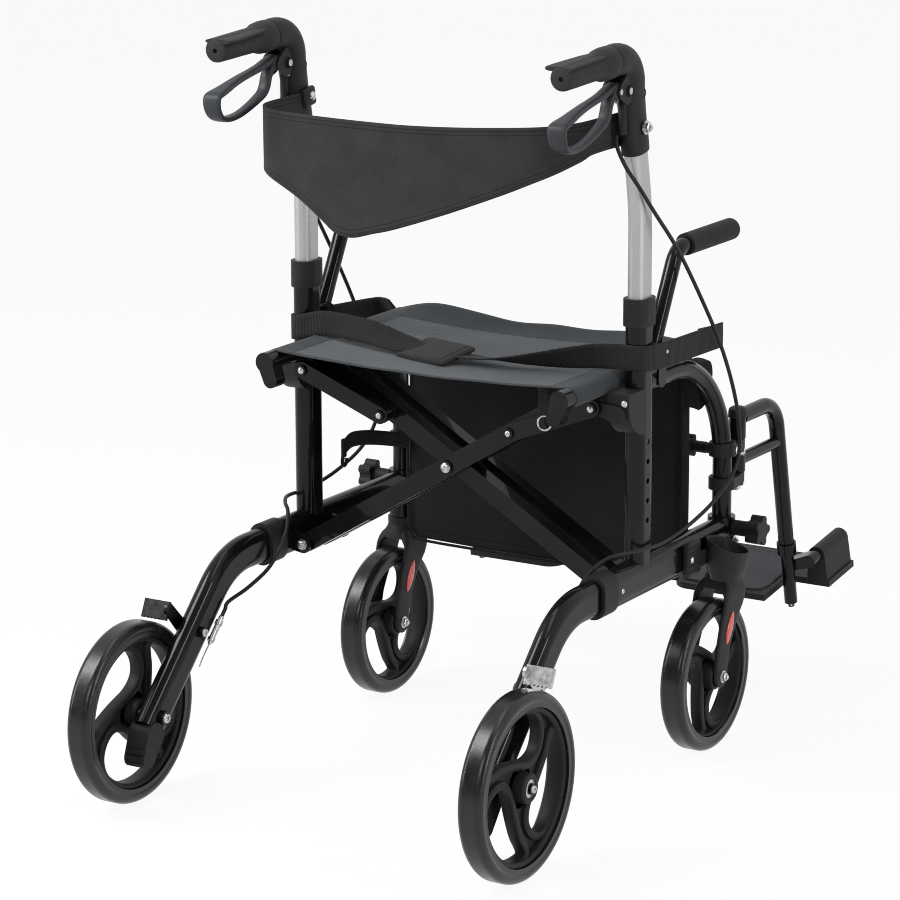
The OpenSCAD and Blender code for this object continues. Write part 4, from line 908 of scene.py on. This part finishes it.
# handle housings: an oval sleeve that bends over into the grip's shoulder
housing = {
    "foot": (-13.5, 813.5), "lean": 11, "elbow": (-66.04, 894.95), "bend": 36, "droop": 3,
    "sleeve": ((0, 28, 40), (0.5, 29, 41), (4, 29.4, 41.4), (20, 29.4, 41.4), (22, 28.4, 40.4),
               (50, 28.6, 40.6), (75, 30.5, 41), (90, 34, 41)),
    "shoulder": ((6, 39.6), (12, 39.2), (13.4, 38.4)),
    "cheek": ((-73.9, 885.9), (-78.9, 893.9), (-73.9, 901.9), (-58, 914), (-45, 905), (-48, 880), (-58, 876)),
    "cheekAt": (-10.6, 10.6), "cheekFaces": (-1.6, 1.6), "barrelAt": (-46, 858),
    "barrel": ((0, 20), (4.4, 20), (5.4, 18), (5.4, -14), (6, -14), (6, -17), (4.2, -19.6), (0, -19.6)),
    "screws": ((-52, 893), (-23, 887)), "collarOut": 14.6, "headOut": 13.4,
    "collar": ((7, -2), (7, 0), (6.2, 0.7), (5.4, 0.2), (5.2, -1.6)),
    "head": ((0, 0.4), (1.6, 0.4), (2, 1.3), (4.2, 1), (4.8, -0.8)), "clamp": (18.2, -19, 846),
    "slit": (17.6, -47, 928), "slitTilt": -14,
    "pinAt": 252.5, "pin": ((0, 3), (3.4, 2.7), (4.6, 1.4), (4.8, 0))}


def makeHousing(side, s):
    bm = bmesh.new()
    x = s * frameX
    rings = []
    y, z = housing["foot"]
    lean, droop = math.radians(housing["lean"]), math.radians(housing["droop"])
    up = (-math.sin(lean), math.cos(lean))
    for t, wide, deep in housing["sleeve"]:
        rings.append(ring(bm, sidePlace(x, y + up[0] * t, z + up[1] * t, *up), wide, deep, 40, 2.4))
    cy, cz = housing["elbow"]
    r = housing["bend"]
    for i in range(1, 13):
        t = i / 12
        a = lean + (math.radians(90 + housing["droop"]) - lean) * i / 12
        place = sidePlace(x, cy + r * math.cos(a), cz + r * math.sin(a), -math.sin(a), math.cos(a))
        rings.append(ring(bm, place, 34 + 5.5 * t, 41 - 1.5 * t, 40, 2.4 - 0.3 * t))
    gy, gz = cy - r * math.sin(droop), cz + r * math.cos(droop)
    ahead = (-math.cos(droop), -math.sin(droop))
    for t, wide in housing["shoulder"]:
        rings.append(ring(bm, sidePlace(x, gy + ahead[0] * t, gz + ahead[1] * t, *ahead), wide, wide, 40))
    loft(bm, rings)
    for cheek in housing["cheekAt"]:
        loft(bm, [addLoop(bm, housing["cheek"], lambda p, d=d: mm(x + cheek + d, p[0], p[1]))
                  for d in housing["cheekFaces"]])
    spun(bm, sidePlace(x, *housing["barrelAt"], 0, 1), housing["barrel"], 20)
    makePiece("handleHousing_" + side, bm, plasticBlack, "handle_" + side,
              ["handle_housing_" + side], 34)


# the grip with its palm rest, which is wider towards the middle of the chair
gripForm = {
    "profile": ((0, 0.2), (16, 0), (19.4, 0.4), (20.2, 4), (20.4, 14), (19.6, 24), (17.4, 31), (16, 38),
                (15.6, 60), (15.4, 90), (15, 112), (14.4, 115), (13, 116), (3, 116), (3, 112), (0, 112)),
    "root": (-82, 930.2), "rest": ((6, 6), (13, 17), (19, 40), (22, 70), (24, 98), (24, 110), (21, 116)),
    "restOut": 14, "restUp": 11.5, "restThick": 5.8}


def makeGrip(side, s):
    droop = math.radians(housing["droop"])
    rear = Vector((0, -math.cos(droop), -math.sin(droop)))
    root = (s * frameX, *gripForm["root"])
    bm = bmesh.new()
    spun(bm, facing(root, rear), gripForm["profile"], 48)
    rings = []
    for inner, along in gripForm["rest"]:
        at = Vector(root) + rear * along
        outer = min(inner, gripForm["restOut"])
        turn = sidePlace(at.x + s * ((outer - inner) / 2), at.y, at.z + gripForm["restUp"], rear.y, rear.z)
        rings.append(ring(bm, turn, inner + outer, gripForm["restThick"], 28, 3))
    loft(bm, rings)
    makePiece("grip_" + side, bm, gripRubber, "handle_" + side, ["grip_" + side], 40)


# loop levers: a band from the pivot out and back, as (y, z, width, thickness) from the pivot
leverForm = {
    "pivot": (-71.92, 893.9),
    "loop": ((2, 7, 15, 9), (-14, 3, 15, 9), (-32, -2, 13.5, 8.5), (-52, -6, 13, 8), (-72, -9.8, 14, 8),
             (-92, -14.5, 16, 8), (-110, -19.5, 20, 8), (-123, -22.5, 24, 7.5), (-132, -25.5, 25, 7),
             (-134.5, -33, 25, 6.4), (-132, -43, 24, 6.4), (-124, -52, 22, 7), (-110, -56, 16, 7.5),
             (-94, -56.5, 13, 7.5), (-76, -54, 12, 7.5), (-56, -48, 12, 8), (-38, -41, 13, 8.5),
             (-25, -34.5, 14, 9), (-18.5, -26, 15, 9), (-14, -14, 15, 9), (-6, -4, 15, 9))}


def makeLever(side, s):
    bm = bmesh.new()
    x = s * frameX
    y, z = leverForm["pivot"]
    path = smoothLine(flatPoints(row[:2] for row in leverForm["loop"]), 3)
    sizes = smoothLine(flatPoints(row[2:] for row in leverForm["loop"]), 3)
    rings = []
    for i, (point, size) in enumerate(zip(path, sizes)):
        along = path[min(i + 1, len(path) - 1)] - path[max(i - 1, 0)]
        place = sidePlace(x, y + point.x, z + point.y, along.x, along.y)
        rings.append(ring(bm, place, size.x, size.y, 20, 4))
    loft(bm, rings)
    spun(bm, facing((x, y, z), (1, 0, 0)), mirrored(((0, 8.6), (7.6, 8.6), (9, 7.4))), 32)
    makePiece("loopLever_" + side, bm, leverSatin, "lever_" + side, ["brake_lever_" + side], 50)


# the lever's return spring, coiled round its wire
leverSpring = {"start": (235, -46, 876), "along": (6, -18, 14), "radius": 2.2, "steps": 72, "halfTurn": 6,
               "wire": ((235, -46, 876), (238, -55, 884), (241, -64, 890))}


# screws, split line, clamp block and spring on each housing
def makeHandleDetail(side, s):
    x = s * frameX
    body = "handle_" + side
    lean = math.radians(housing["lean"])
    bm = bmesh.new()
    inwards, y, z = housing["clamp"]
    block(bm, shift(s * (frameX - inwards), y, z) @ Matrix.Rotation(lean, 4, "X"), 8, 26, 24, 3)
    slitOut, slitY, slitZ = housing["slit"]
    tilt = Matrix.Rotation(math.radians(housing["slitTilt"]), 4, "X")
    for turn in (1, -1):
        for y, z in housing["screws"]:
            spun(bm, facing((x + turn * housing["collarOut"], y, z), (turn, 0, 0)), housing["collar"], 28)
        block(bm, shift(x + turn * slitOut, slitY, slitZ) @ tilt, 2, 22, 2.2, 0.7, 2)
    makePiece("housingTrim_" + side, bm, plasticBlack, body, (), 34)
    bm = bmesh.new()
    for turn in (1, -1):
        for y, z in housing["screws"]:
            spun(bm, facing((x + turn * housing["headOut"], y, z), (turn, 0, 0)), housing["head"], 18)
    addNut(bm, (s * 259, -18, 845), (s, 0, 0), 6.5)
    addRivet(bm, (s * 220.4, -16, 847), (-s, 0, 0), 6)
    spun(bm, facing((s * housing["pinAt"], *leverForm["pivot"]), (s, 0, 0)), housing["pin"], 18)
    zincPiece("housingScrews_" + side, bm, body)
    start, along = sided(s, (leverSpring["start"], leverSpring["along"]))
    across = along.cross(Vector((1, 0, 0))).normalized()
    over = along.cross(across).normalized()
    coil = []
    for i in range(leverSpring["steps"] + 1):
        a = i * math.pi / leverSpring["halfTurn"]
        out = (across * math.cos(a) + over * math.sin(a)) * leverSpring["radius"]
        coil.append(start + along * i / leverSpring["steps"] + out)
    zincWire("leverSpring_" + side, coil, 0.6, 1, body, 1)
    zincWire("leverWire_" + side, sided(s, leverSpring["wire"]), 0.9, 2, body)


# zinc fasteners, in shares of their radius
def addRivet(bm, at, direction, r):
    spun(bm, facing(at, direction), ((0, 0.55 * r), (0.45 * r, 0.5 * r), (0.8 * r, 0.33 * r), (r, 0.06 * r),
                                     (r, -0.2 * r)), 20)


def addBolt(bm, at, direction, r):
    spun(bm, facing(at, direction), ((0, 0.1 * r), (0.4 * r, 0.1 * r), (0.46 * r, 0.4 * r),
                                     (0.85 * r, 0.36 * r), (r, 0.1 * r), (r, -0.4 * r)), 24)


def addNut(bm, at, direction, r):
    place = facing(at, direction)
    spun(bm, place, ((0, 0), (1.35 * r, 0), (1.35 * r, 0.2 * r), (0, 0.22 * r)), 24)
    spun(bm, place, ((0, 0.95 * r), (0.8 * r, 0.95 * r), (r, 0.8 * r), (r, 0.2 * r)), 6)
    spun(bm, place, ((0, 1.35 * r), (0.42 * r, 1.32 * r), (0.5 * r, 1.22 * r), (0.5 * r, 0.9 * r)), 14)


behind = (0, -1, 0)
fasteners = {"brace_a": [(addRivet, (0, -58.4, 398.7), behind, 7)],
             "link_right": [(addRivet, (94.6, -64.2, 455.6), behind, 5)],
             "link_left": [(addRivet, (-94.6, -64.2, 455.6), behind, 5)]}
for side, s in sides:
    axleY, axleZ = rearWheel["y"], rearWheel["radius"]
    fasteners["frame_" + side] = [
        (addRivet, (s * 211, -64.2, 501), behind, 5.5), (addRivet, (s * 251, -52.4, 509), behind, 4.5),
        (addNut, (s * 214, -62.6, 270), behind, 5.5), (addRivet, (s * 257, -63, 276), (s, 0, 0), 4),
        (addBolt, (s * 300.1, axleY, axleZ), (s, 0, 0), 5),
        (addBolt, (s * 224, axleY, axleZ), (-s, 0, 0), 6.4),
        (addBolt, (s * 225, -268.88, 202.68), (-s, 0, 0), 5.2),
        (addNut, (s * 258.4, 34, 560), (s, 0, 0), 5)]
    fasteners["fork_" + side] = [
        (addNut, (s * frameX + turn * 25.4, casterWheel["y"], casterWheel["radius"]), (turn, 0, 0), 6)
        for turn in (1, -1)]


def makeFasteners():
    for body, rows in fasteners.items():
        bm = bmesh.new()
        for add, at, direction, r in rows:
            add(bm, at, direction, r)
        zincPiece("fasteners_" + body, bm, body)


# caster forks: a bell, as (height, half width, half depth), that splits into two legs, as
# (height, middle along y, half depth, inner face, outer face)
forkForm = {
    "bell": ((239.7, 16.6, 16.6), (239.4, 18.6, 18.6), (238, 20, 20), (230, 20, 20), (229, 19.4, 19.4),
             (224, 20.8, 22), (218, 23, 24), (213, 24.6, 25.6), (211, 25, 26)),
    "legs": ((222, 230, 19, 2, 18), (217, 229.8, 22.6, 5, 22.4), (212, 229.4, 25, 9.6, 24.6),
             (208, 229, 26.2, 13.4, 25.4), (204.6, 228.6, 27, 16.6, 25.6), (202, 228, 27.2, 18.4, 25.6),
             (194, 226, 27.4, 18.7, 25.6), (185, 222, 26.6, 18.7, 25.5), (172, 213, 23, 18.7, 25.4),
             (152, 203, 19.4, 18.7, 25.4), (134, 195.4, 17, 18.7, 25.4), (114, 190.8, 16, 18.7, 25.4),
             (100, 190, 15.4, 18.7, 25.4), (92, 190, 13.2, 18.7, 25.4), (87.4, 190, 9, 18.7, 25.2),
             (85.6, 190, 4, 18.8, 25)),
    "stem": ((0, 54), (7.4, 54), (8, 53), (8, 0), (0, 0)), "axle": ((0, 25), (5, 25))}


def makeFork(side, s):
    bm = bmesh.new()
    x = s * frameX
    loft(bm, [ring(bm, shift(x, stemY, z), 2 * wide, 2 * deep, 40, 2 + max(0, (224 - z) / 9))
              for z, wide, deep in forkForm["bell"]])
    for turn in (1, -1):
        rings = []
        for z, y, half, inner, outer in forkForm["legs"]:
            place = shift(x + turn * (inner + outer) / 2, y, z)
            rings.append(ring(bm, place, outer - inner, 2 * half, 32, 4.4))
        loft(bm, rings)
    makePiece("forkShell_" + side, bm, plasticBlack, "fork_" + side, ["caster_fork_" + side], 42)
    bm = bmesh.new()
    spun(bm, facing((x, stemY, 238), (0, 0, 1)), forkForm["stem"], 28)
    spun(bm, facing((x, casterWheel["y"], casterWheel["radius"]), (1, 0, 0)), mirrored(forkForm["axle"]), 24)
    zincPiece("forkStem_" + side, bm, "fork_" + side)


# red reflectors on both faces of each fork, as rings of (share of the size, height)
reflector = {"at": (208.6, 161), "out": 25.3, "long": 44, "wide": 15, "tilt": 66,
             "rings": ((1, -0.4), (1, 0.8), (0.93, 1.3), (0.7, 1.7), (0.3, 1.9))}


def makeReflectors():
    tilt = math.radians(reflector["tilt"])
    ahead = Vector((0, math.cos(tilt), math.sin(tilt)))
    for side, s in sides:
        bm = bmesh.new()
        for turn in (1, -1):
            out = Vector((turn, 0, 0))
            axes = Matrix((ahead, out.cross(ahead), out)).transposed().to_4x4()
            place = shift(s * frameX + turn * reflector["out"], *reflector["at"]) @ axes
            loft(bm, [ring(bm, place @ Matrix.Translation((0, 0, h / 1000)), reflector["long"] * k,
                           reflector["wide"] * k, 36, 1.7) for k, h in reflector["rings"]])
        makePiece("reflectors_" + side, bm, redLens, "fork_" + side, (), 30)


# the cane cup: a tapered scoop with a thick sloping rim, on its bracket
cup = {
    "at": (282, 172), "slope": (0.38, 0.2), "slopeFrom": (258, 139), "low": 240, "high": 58,
    "rows": ((240, 32, 46), (241.5, 36, 51), (252, 41, 57), (270, 45, 62.5), (296, 48, 67), (299, 47.6, 66.6),
             (300, 46, 65), (298.6, 42, 61), (270, 38, 55.5), (252, 34, 50), (246, 29, 44), (245, 22, 36)),
    "blocks": (((263.2, 108, 278), (9.6, 34, 44, 3)), ((264, 150, 272), (4, 70, 20, 1.2))),
    "ribs": (262, 270, 286, 294), "ribAt": (268.4, 108), "screw": (268.6, 100, 278)}


def makeCup():
    bm = bmesh.new()
    x, y = cup["at"]
    loft(bm, [ring(bm, shift(x, y, z), wide, deep, 48, 2.6) for z, wide, deep in cup["rows"]])
    start = mm(*cup["slopeFrom"], cup["low"])
    for v in bm.verts:
        share = max(0.0, (v.co.z - start.z) / (cup["high"] / 1000))
        fall = (v.co.x - start.x) * cup["slope"][0] + (v.co.y - start.y) * cup["slope"][1]
        v.co.z -= share * max(0.0, fall)
    for at, size in cup["blocks"]:
        block(bm, shift(*at), *size)
    for z in cup["ribs"]:
        block(bm, shift(*cup["ribAt"], z), 1.2, 30, 2, 0.4, 2)
    makePiece("caneCup", bm, plasticBlack, "frame_right", ["cane_holder"], 36)
    bm = bmesh.new()
    addRivet(bm, cup["screw"], (1, 0, 0), 4)
    zincPiece("caneCupScrew", bm, "frame_right")


# tread pads in the footplate's own tilted frame, as rings of (inset, height)
tread = {"at": (0, 388, 146), "tilt": 8, "from": (94, 10), "to": (222, 142), "top": 9,
         "rings": ((0, -0.4), (0, 1.2), (0.8, 2), (5, 2.2), (6, 1.4), (7.5, 1.3))}


def makeTreads():
    (x0, y0), (x1, y1) = tread["from"], tread["to"]
    place = shift(*tread["at"]) @ Matrix.Rotation(math.radians(tread["tilt"]), 4, "X")
    for side, s in sides:
        bm = bmesh.new()
        centre = Vector((s * (x0 + x1) / 2, (y0 + y1) / 2, tread["top"]))
        middle = place @ Matrix.Translation(centre / 1000)
        loft(bm, [ring(bm, middle @ Matrix.Translation((0, 0, h / 1000)), x1 - x0 - 2 * d, y1 - y0 - 2 * d,
                       64, 8) for d, h in tread["rings"]])
        makePiece("treadPad_" + side, bm, treadRubber, "footplate_" + side, (), 40)


# caps, rings and nuts at the footrest hinges
hinge = {"y": 272, "cap": 432, "clamps": (399, 353), "washer": 378, "nut": 336,
         "capForm": ((0, 8), (8, 7.6), (11.5, 5), (12.4, 0), (12.4, -6), (0, -6)),
         "clampForm": ((13, 3), (16.5, 3), (17.6, 1.6)), "washerForm": ((6, 3), (10.4, 3), (11, 2))}


def makeHingeDetail(side, s):
    x = s * frameX
    up = (0, 0, 1)
    body = "frame_" + side
    bm = bmesh.new()
    spun(bm, facing((x, hinge["y"], hinge["cap"]), up), hinge["capForm"], 32)
    for z in hinge["clamps"]:
        spun(bm, facing((x, stemY, z), up), mirrored(hinge["clampForm"]), 36)
    makePiece("hingeCap_" + side, bm, plasticBlack, body, (), 34)
    bm = bmesh.new()
    spun(bm, facing((x, hinge["y"], hinge["washer"]), up), mirrored(hinge["washerForm"]), 28)
    addNut(bm, (x, hinge["y"], hinge["nut"]), (0, 0, -1), 6)
    addNut(bm, (s * 256.4, 238, 391), (s, 0, 0), 5.5)
    addNut(bm, (s * 261.4, stemY, 272), (s, 0, 0), 5)
    zincPiece("hingeNuts_" + side, bm, body)


# the nut under each footrest tube, which leans forward from its upper end
slider = {"lean": 12, "y": 380, "top": 425, "end": 134}


def makeFootrestDetail(side, s):
    lean = math.radians(slider["lean"])
    bm = bmesh.new()
    end = (s * frameX, slider["y"] + (slider["top"] - slider["end"]) * math.tan(lean), slider["end"])
    addNut(bm, end, (0, math.sin(lean), -math.cos(lean)), 5)
    zincPiece("sliderNut_" + side, bm, "slider_" + side)


makeCables()
makeBackrest()
makeSeat()
makeBelt()
makeBeltPad()
makeBag()
makeBagTrim()
makeFoldStrap()
makeSeatTab()
print("cables and cloth made")
makeWheels()
for side, s in sides:
    makeHousing(side, s)
    makeGrip(side, s)
    makeLever(side, s)
    makeHandleDetail(side, s)
    makeHingeDetail(side, s)
    makeFootrestDetail(side, s)
    makeFork(side, s)
makeFasteners()
makeReflectors()
makeCup()
makeTreads()
print("hard pieces made")

# the camera stands as in the photo, with its focal length in pixels of a square frame
cameraAt = {"place": (2337.0, -3910.0, 1539.1), "azimuth": 31.17, "elevation": 13.93, "roll": -0.18,
            "focal": 3698.75, "frame": 900, "sensor": 36}


def makeCamera():
    turns = (cameraAt["azimuth"], 90 - cameraAt["elevation"], cameraAt["roll"])
    place = shift(*cameraAt["place"])
    for angle, axis in zip(turns, "ZXZ"):
        place = place @ Matrix.Rotation(math.radians(angle), 4, axis)
    data = bpy.data.cameras.new("camera")
    data.sensor_width = cameraAt["sensor"]
    data.lens = cameraAt["sensor"] * cameraAt["focal"] / cameraAt["frame"]
    data.clip_end = 100
    camera = bpy.data.objects.new("camera", data)
    camera.matrix_world = place
    bpy.context.collection.objects.link(camera)
    bpy.context.scene.camera = camera


lamps = {"above": {"at": (0.3, -0.2, 3.3), "size": (0.7, 3.0), "power": 18},
         "softbox": {"at": (-1.4, -1.4, 2.5), "size": (1.3, 1.1), "power": 58},
         "left": {"at": (-2.5, -1.9, 1.6), "size": (0.4, 2.2), "power": 36},
         "right": {"at": (3.0, -0.7, 1.5), "size": (0.24, 2.4), "power": 32},
         "behindCamera": {"at": (0.8, -3.4, 2.2), "size": (1.6, 1.2), "power": 30}}
lampAim = (0, 0, 0.45)


def makeLights():
    for name, lamp in lamps.items():
        data = bpy.data.lights.new(name, "AREA")
        data.shape = "RECTANGLE"
        data.size, data.size_y = lamp["size"]
        data.energy = lamp["power"]
        light = bpy.data.objects.new(name, data)
        light.location = lamp["at"]
        aim = Vector(lampAim) - Vector(lamp["at"])
        light.rotation_euler = aim.to_track_quat("-Z", "Y").to_euler()
        bpy.context.collection.objects.link(light)


# the studio: a white backdrop ahead, and a dimmer room behind the camera that only reflections show
studio = {"light": 0.34, "room": 0.16, "blend": 0.45, "floor": 0.86, "glow": 0.92}


def makeWorld():
    world = bpy.data.worlds.new("studio")
    bpy.context.scene.world = world
    world.use_nodes = True
    tree = Tree(world.node_tree)
    path = tree.add("LightPath").outputs
    generated = tree.value("TexCoord", "Generated")
    ahead = tree.value("SeparateXYZ", "Y", {0: generated})
    room = tree.value("MapRange", 0, {
        "Value": ahead, "From Min": -studio["blend"], "From Max": studio["blend"],
        "To Min": studio["room"], "To Max": 1.0})
    shiny = tree.maths("MAXIMUM", path["Is Glossy Ray"], path["Is Transmission Ray"])
    seen = tree.value("Mix", 0, {0: shiny, 2: studio["light"], 3: room})
    strength = tree.value("Mix", 0, {0: path["Is Camera Ray"], 2: seen, 3: 1.0})
    glow = tree.value("Background", 0, {"Color": (1, 1, 1, 1), "Strength": strength})
    tree.add("OutputWorld", {0: glow})


# the floor takes shadows, and looks nearly as white as the backdrop
def makeFloor():
    bm = bmesh.new()
    bmesh.ops.create_grid(bm, x_segments=1, y_segments=1, size=30)
    mesh = bpy.data.meshes.new("floor")
    bm.to_mesh(mesh)
    bm.free()
    floor = bpy.data.objects.new("floor", mesh)
    floor.location.z = -0.0005
    s = Shade("floor")
    s.finish(Base_Color=(studio["floor"], studio["floor"], studio["floor"], 1), Roughness=0.9)
    path = s.add("LightPath").outputs
    rays = ("Is Camera Ray", "Is Glossy Ray", "Is Transmission Ray")
    camera, shiny, clear = (Value(s, path[ray]) for ray in rays)
    glow = s.value("Emission", 0, {"Color": (1, 1, 1, 1), "Strength": 1.0})
    mix = s.value("MixShader", 0, {
        0: studio["glow"] * camera.most(shiny).most(clear), 1: s.surface.outputs[0], 2: glow})
    s.put(s.output.inputs["Surface"], mix)
    mesh.materials.append(s.material)
    bpy.context.collection.objects.link(floor)


makeCamera()
makeLights()
makeWorld()
makeFloor()
bpy.context.scene.view_settings.view_transform = "Standard"
bpy.context.scene.cycles.filter_width = 1.0
print("camera, lights and floor made")
